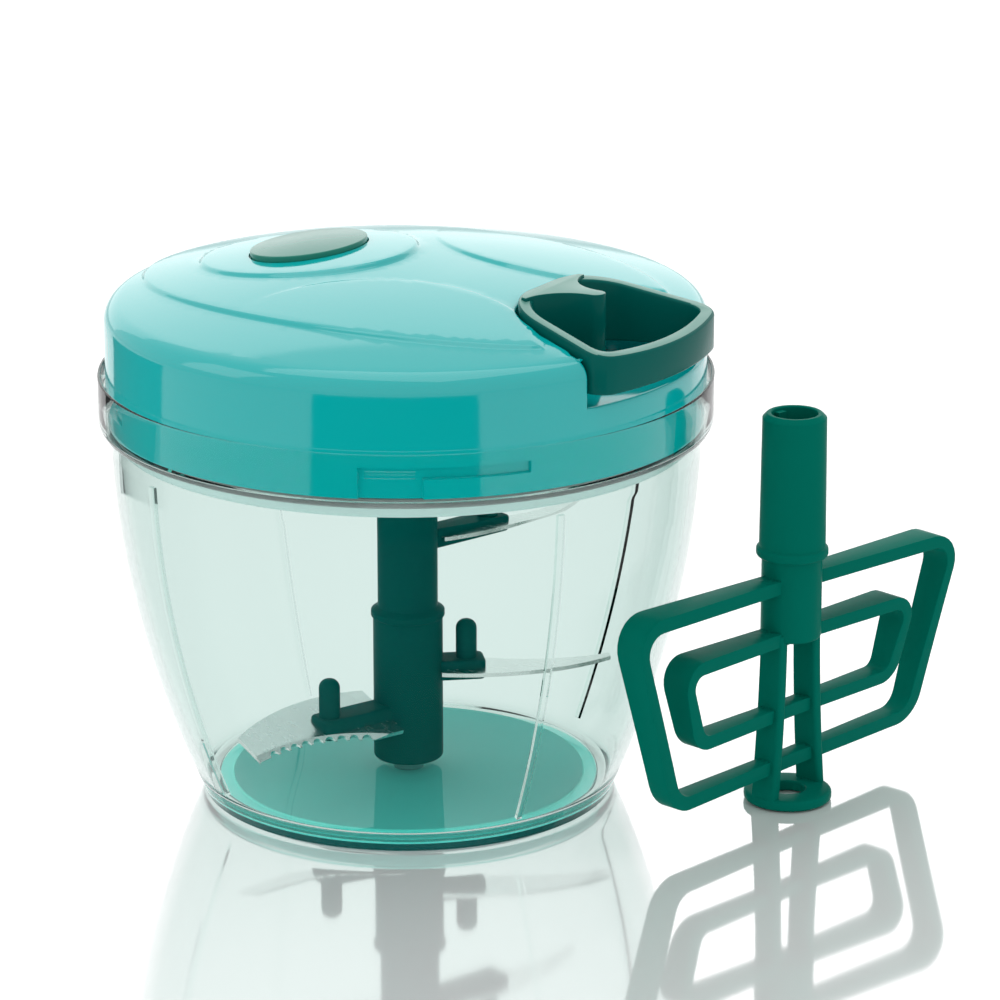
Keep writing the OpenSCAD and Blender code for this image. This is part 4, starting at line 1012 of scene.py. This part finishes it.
def whisk_leg(name, side):
    """One leg: a flat strip that is extruded step by step and bows outward on its way to the foot ring."""
    way = [(LEG_IN + LEG_BOW * (1 - t * t) ** 0.5 * (1 - t) + LEG_SPREAD * (1 - t) ** 3,
            LEG_LOW + (LEG_TOP + 2 - LEG_LOW) * t) for t in levels(0, 1, 12)]
    leg = drawn_line(name, [(side * (way[0][0] + dx), dy, way[0][1]) for dx, dy in
                            rounded([(-LEG_T / 2, -LEG_W / 2, 0.8), (LEG_T / 2, -LEG_W / 2, 0.8),
                                     (LEG_T / 2, LEG_W / 2, 0.8), (-LEG_T / 2, LEG_W / 2, 0.8)], 3, True)],
                     closed=True)
    for (r0, z0), (r1, z1) in zip(way, way[1:]):
        stride = (side * (r1 - r0) * MM, 0, (z1 - z0) * MM)
        bpy.ops.mesh.extrude_region_move(TRANSFORM_OT_translate={"value": stride})
    weld()
    bpy.ops.object.mode_set(mode="OBJECT")
    return leg


whisk = turned("whisk_insert", rounded([
    (0, LEG_TOP, 0), (LOW_TUBE_R, LEG_TOP, 0.8), (LOW_TUBE_R, WHISK_STEP - 1.3, 0.3),
    (BEAD_R, WHISK_STEP - 1.1, 0.9), (BEAD_R, WHISK_STEP + 1.1, 0.9),
    (HIGH_TUBE_R + 0.3, WHISK_STEP + 1.4, 0.2), (HIGH_TUBE_R, WHISK_H - RIM_CHAMFER, 0.5),
    (HIGH_TUBE_R - RIM_CHAMFER, WHISK_H, 0.4), (SOCKET_R, WHISK_H, 0.4),
    (SOCKET_R, WHISK_H - WHISK_SOCKET, 0.3), (0, WHISK_H - WHISK_SOCKET, 0)]), 72)
foot = turned("foot_ring", rounded([(FOOT_HOLE_R, 0, 0.5), (FOOT_RING_R, 0, 0.9),
                                    (FOOT_RING_R, FOOT_RING_T, 0.9), (FOOT_HOLE_R, FOOT_RING_T, 0.5)],
                                   4, True), 72, closed=True)
for part in [foot] + [whisk_leg("leg", side) for side in (1, -1)]:
    combine(whisk, part, "UNION")
for name, sizes in LOOPS.items():
    combine(whisk, loop_band(name + "_loop", *sizes), "UNION")
add_socket_ribs(whisk, WHISK_H - WHISK_SOCKET, WHISK_H)


def onto_table(x, y, z):
    angle = math.radians(WHISK_TURN - WHISK_TWIST * min(z, TWIST_H) / TWIST_H)
    place = Matrix.Rotation(angle, 3, "Z") @ Vector((x, y, z))
    return place + Vector((*WHISK, 0))


reshape(whisk, onto_table)
smooth(whisk, 32)
deliver(whisk, "whisk", "green_plastic", satin_pp, "whisk")

# %% [markdown]
# ## Solids that stay
# Pin, blades, seal and the works inside the lid have the right shape already, so they stay and only get
# their finish.

# %% Finishes of the solids that stay
kept = {"pivot_pin": pin_steel, "reel_axle": pin_steel,
        "blade_top": blade_steel, "blade_middle": blade_steel, "blade_bottom": blade_steel,
        "lid_seal": seal_silicone, "under_plate": pale_abs,
        "cover_screws": zinc_plate, "spring_plate": zinc_plate, "spring_screws": zinc_plate,
        "cord_eyelet": zinc_plate, "pawl_front": zinc_plate, "pawl_back": zinc_plate,
        "mainspring": spring_steel, "spindle_clip": spring_steel,
        "cord_reel": natural_acetal, "drive_spindle": dark_nylon}
for name, material in kept.items():
    nodes[name].data.materials.clear()
    nodes[name].data.materials.append(material)
print("finished solids:", len(kept))

# %% [markdown]
# ## Floor and light
# The chopper stands on glossy white acrylic under a large overhead softbox. The floor is part white diffuse,
# which keeps the shadow, and part mirror, which gives the reflection under the object and fades away from it.
# A photographer would lay dark cards on the table, out of sight, to give the lid's glossy side its darker
# fields. Real cards would show from other sides, so here the floor itself is dark in two fields, and only
# to rays that a gloss has mirrored or a clear wall has bent. From behind, they still show through the bowl.

# %% Floor
floor_size = 8.0
CAMERA_SIDE, FIELD_REACH, FIELD_DEEP = 33 - 90, 0.48, 0.44
FIELDS = {"front": (-33, 25, "#080A0A"), "left": (-139, -98, "#6A6F6F")}
deselect()
bpy.ops.mesh.primitive_plane_add(size=floor_size, location=(0, 0, -0.0003))
floor = bpy.context.object
floor.name = "floor"
white_acrylic, tree, shader, place = new_material("white_acrylic_floor")
tree.nodes.remove(shader)
distance = add_node(tree, "ShaderNodeVectorMath", {0: place, 1: (-0.03, -0.05, 0)}, operation="DISTANCE")
mirror = add_node(tree, "ShaderNodeMapRange", {"Value": distance.outputs["Value"], "From Min": 0.06,
                                               "From Max": 0.3, "To Min": 0.56, "To Max": 0.34})
matt = add_node(tree, "ShaderNodeBsdfDiffuse", {"Color": linear("#FFFFFF")})
shine = add_node(tree, "ShaderNodeBsdfGlossy", {"Color": linear("#FFFFFF"), "Roughness": 0.06})
mixed = add_node(tree, "ShaderNodeMixShader", {"Fac": mirror.outputs["Result"], 1: matt.outputs["BSDF"],
                                               2: shine.outputs["BSDF"]})
rays = add_node(tree, "ShaderNodeLightPath")
through = add_node(tree, "ShaderNodeMapRange", {"Value": rays.outputs["Is Transmission Ray"], "To Max": 0.75})
pale = add_node(tree, "ShaderNodeEmission", {"Strength": 0.84})
total = add_node(tree, "ShaderNodeMixShader", {"Fac": through.outputs["Result"], 1: mixed.outputs["Shader"],
                                               2: pale.outputs["Emission"]})
toward = add_node(tree, "ShaderNodeVectorMath", {0: place}, operation="NORMALIZE")
reach = add_node(tree, "ShaderNodeVectorMath", {0: place}, operation="LENGTH")
in_reach = add_node(tree, "ShaderNodeMath", {0: reach.outputs["Value"], 1: FIELD_REACH, 2: FIELD_DEEP / 2},
                    operation="COMPARE")
glanced = add_node(tree, "ShaderNodeMath", {0: rays.outputs["Is Glossy Ray"], 1: in_reach.outputs["Value"]},
                   operation="MULTIPLY")
for name, (start, end, colour) in FIELDS.items():
    heading = math.radians(CAMERA_SIDE + (start + end) / 2)
    way = (math.cos(heading), math.sin(heading), 0)
    facing = add_node(tree, "ShaderNodeVectorMath", {0: toward.outputs["Vector"], 1: way},
                      operation="DOT_PRODUCT")
    least = math.cos(math.radians(end - start) / 2)
    inside = add_node(tree, "ShaderNodeMath", {0: facing.outputs["Value"], 1: least},
                      operation="GREATER_THAN")
    share = add_node(tree, "ShaderNodeMath", {0: inside.outputs["Value"], 1: glanced.outputs["Value"]},
                     operation="MULTIPLY")
    dark = add_node(tree, "ShaderNodeEmission", {"Color": linear(colour)})
    total = add_node(tree, "ShaderNodeMixShader", {"Fac": share.outputs["Value"], 1: total.outputs["Shader"],
                                                   2: dark.outputs["Emission"]})
tree.links.new(total.outputs["Shader"], tree.nodes["Material Output"].inputs["Surface"])
floor.data.materials.append(white_acrylic)
print("floor:", floor_size, "m square")

# %% Softboxes and world
SOFTBOXES = {"overhead": ((0.0, 0.1, 1.3), (0, 0, 0), 1.2, 1.2, 5.0),
             "back": ((-0.98, 1.51, 0.75), (math.radians(-76), 0, math.radians(33)), 3.2, 1.3, 9.0),
             "left_fill": ((-0.9, -0.9, 0.8), (math.radians(58), 0, math.radians(-45)), 0.7, 0.9, 2.0)}
for name, (place, turn, width, depth, power) in SOFTBOXES.items():
    light_data = bpy.data.lights.new(name, "AREA")
    light_data.shape = "RECTANGLE"
    light_data.size = width
    light_data.size_y = depth
    light_data.energy = power
    light = bpy.data.objects.new(name, light_data)
    light.location = place
    light.rotation_euler = turn
    light.visible_camera = False
    light.visible_transmission = False
    bpy.context.scene.collection.objects.link(light)
world = bpy.data.worlds.new("white_studio")
bpy.context.scene.world = world
world.use_nodes = True
tree = world.node_tree
rays = add_node(tree, "ShaderNodeLightPath")
seen = add_node(tree, "ShaderNodeMath", {0: rays.outputs["Is Camera Ray"], 1: rays.outputs["Is Glossy Ray"]},
                operation="MAXIMUM")
seen = add_node(tree, "ShaderNodeMath", {0: seen.outputs["Value"], 1: rays.outputs["Is Transmission Ray"]},
                operation="MAXIMUM")
strength = add_node(tree, "ShaderNodeMapRange", {"Value": seen.outputs["Value"], "To Min": 0.7,
                                                 "To Max": 1.0})
tree.links.new(strength.outputs["Result"], tree.nodes["Background"].inputs["Strength"])
tree.nodes["Background"].inputs["Color"].default_value = (1, 1, 1, 1)
print("lights:", list(SOFTBOXES))
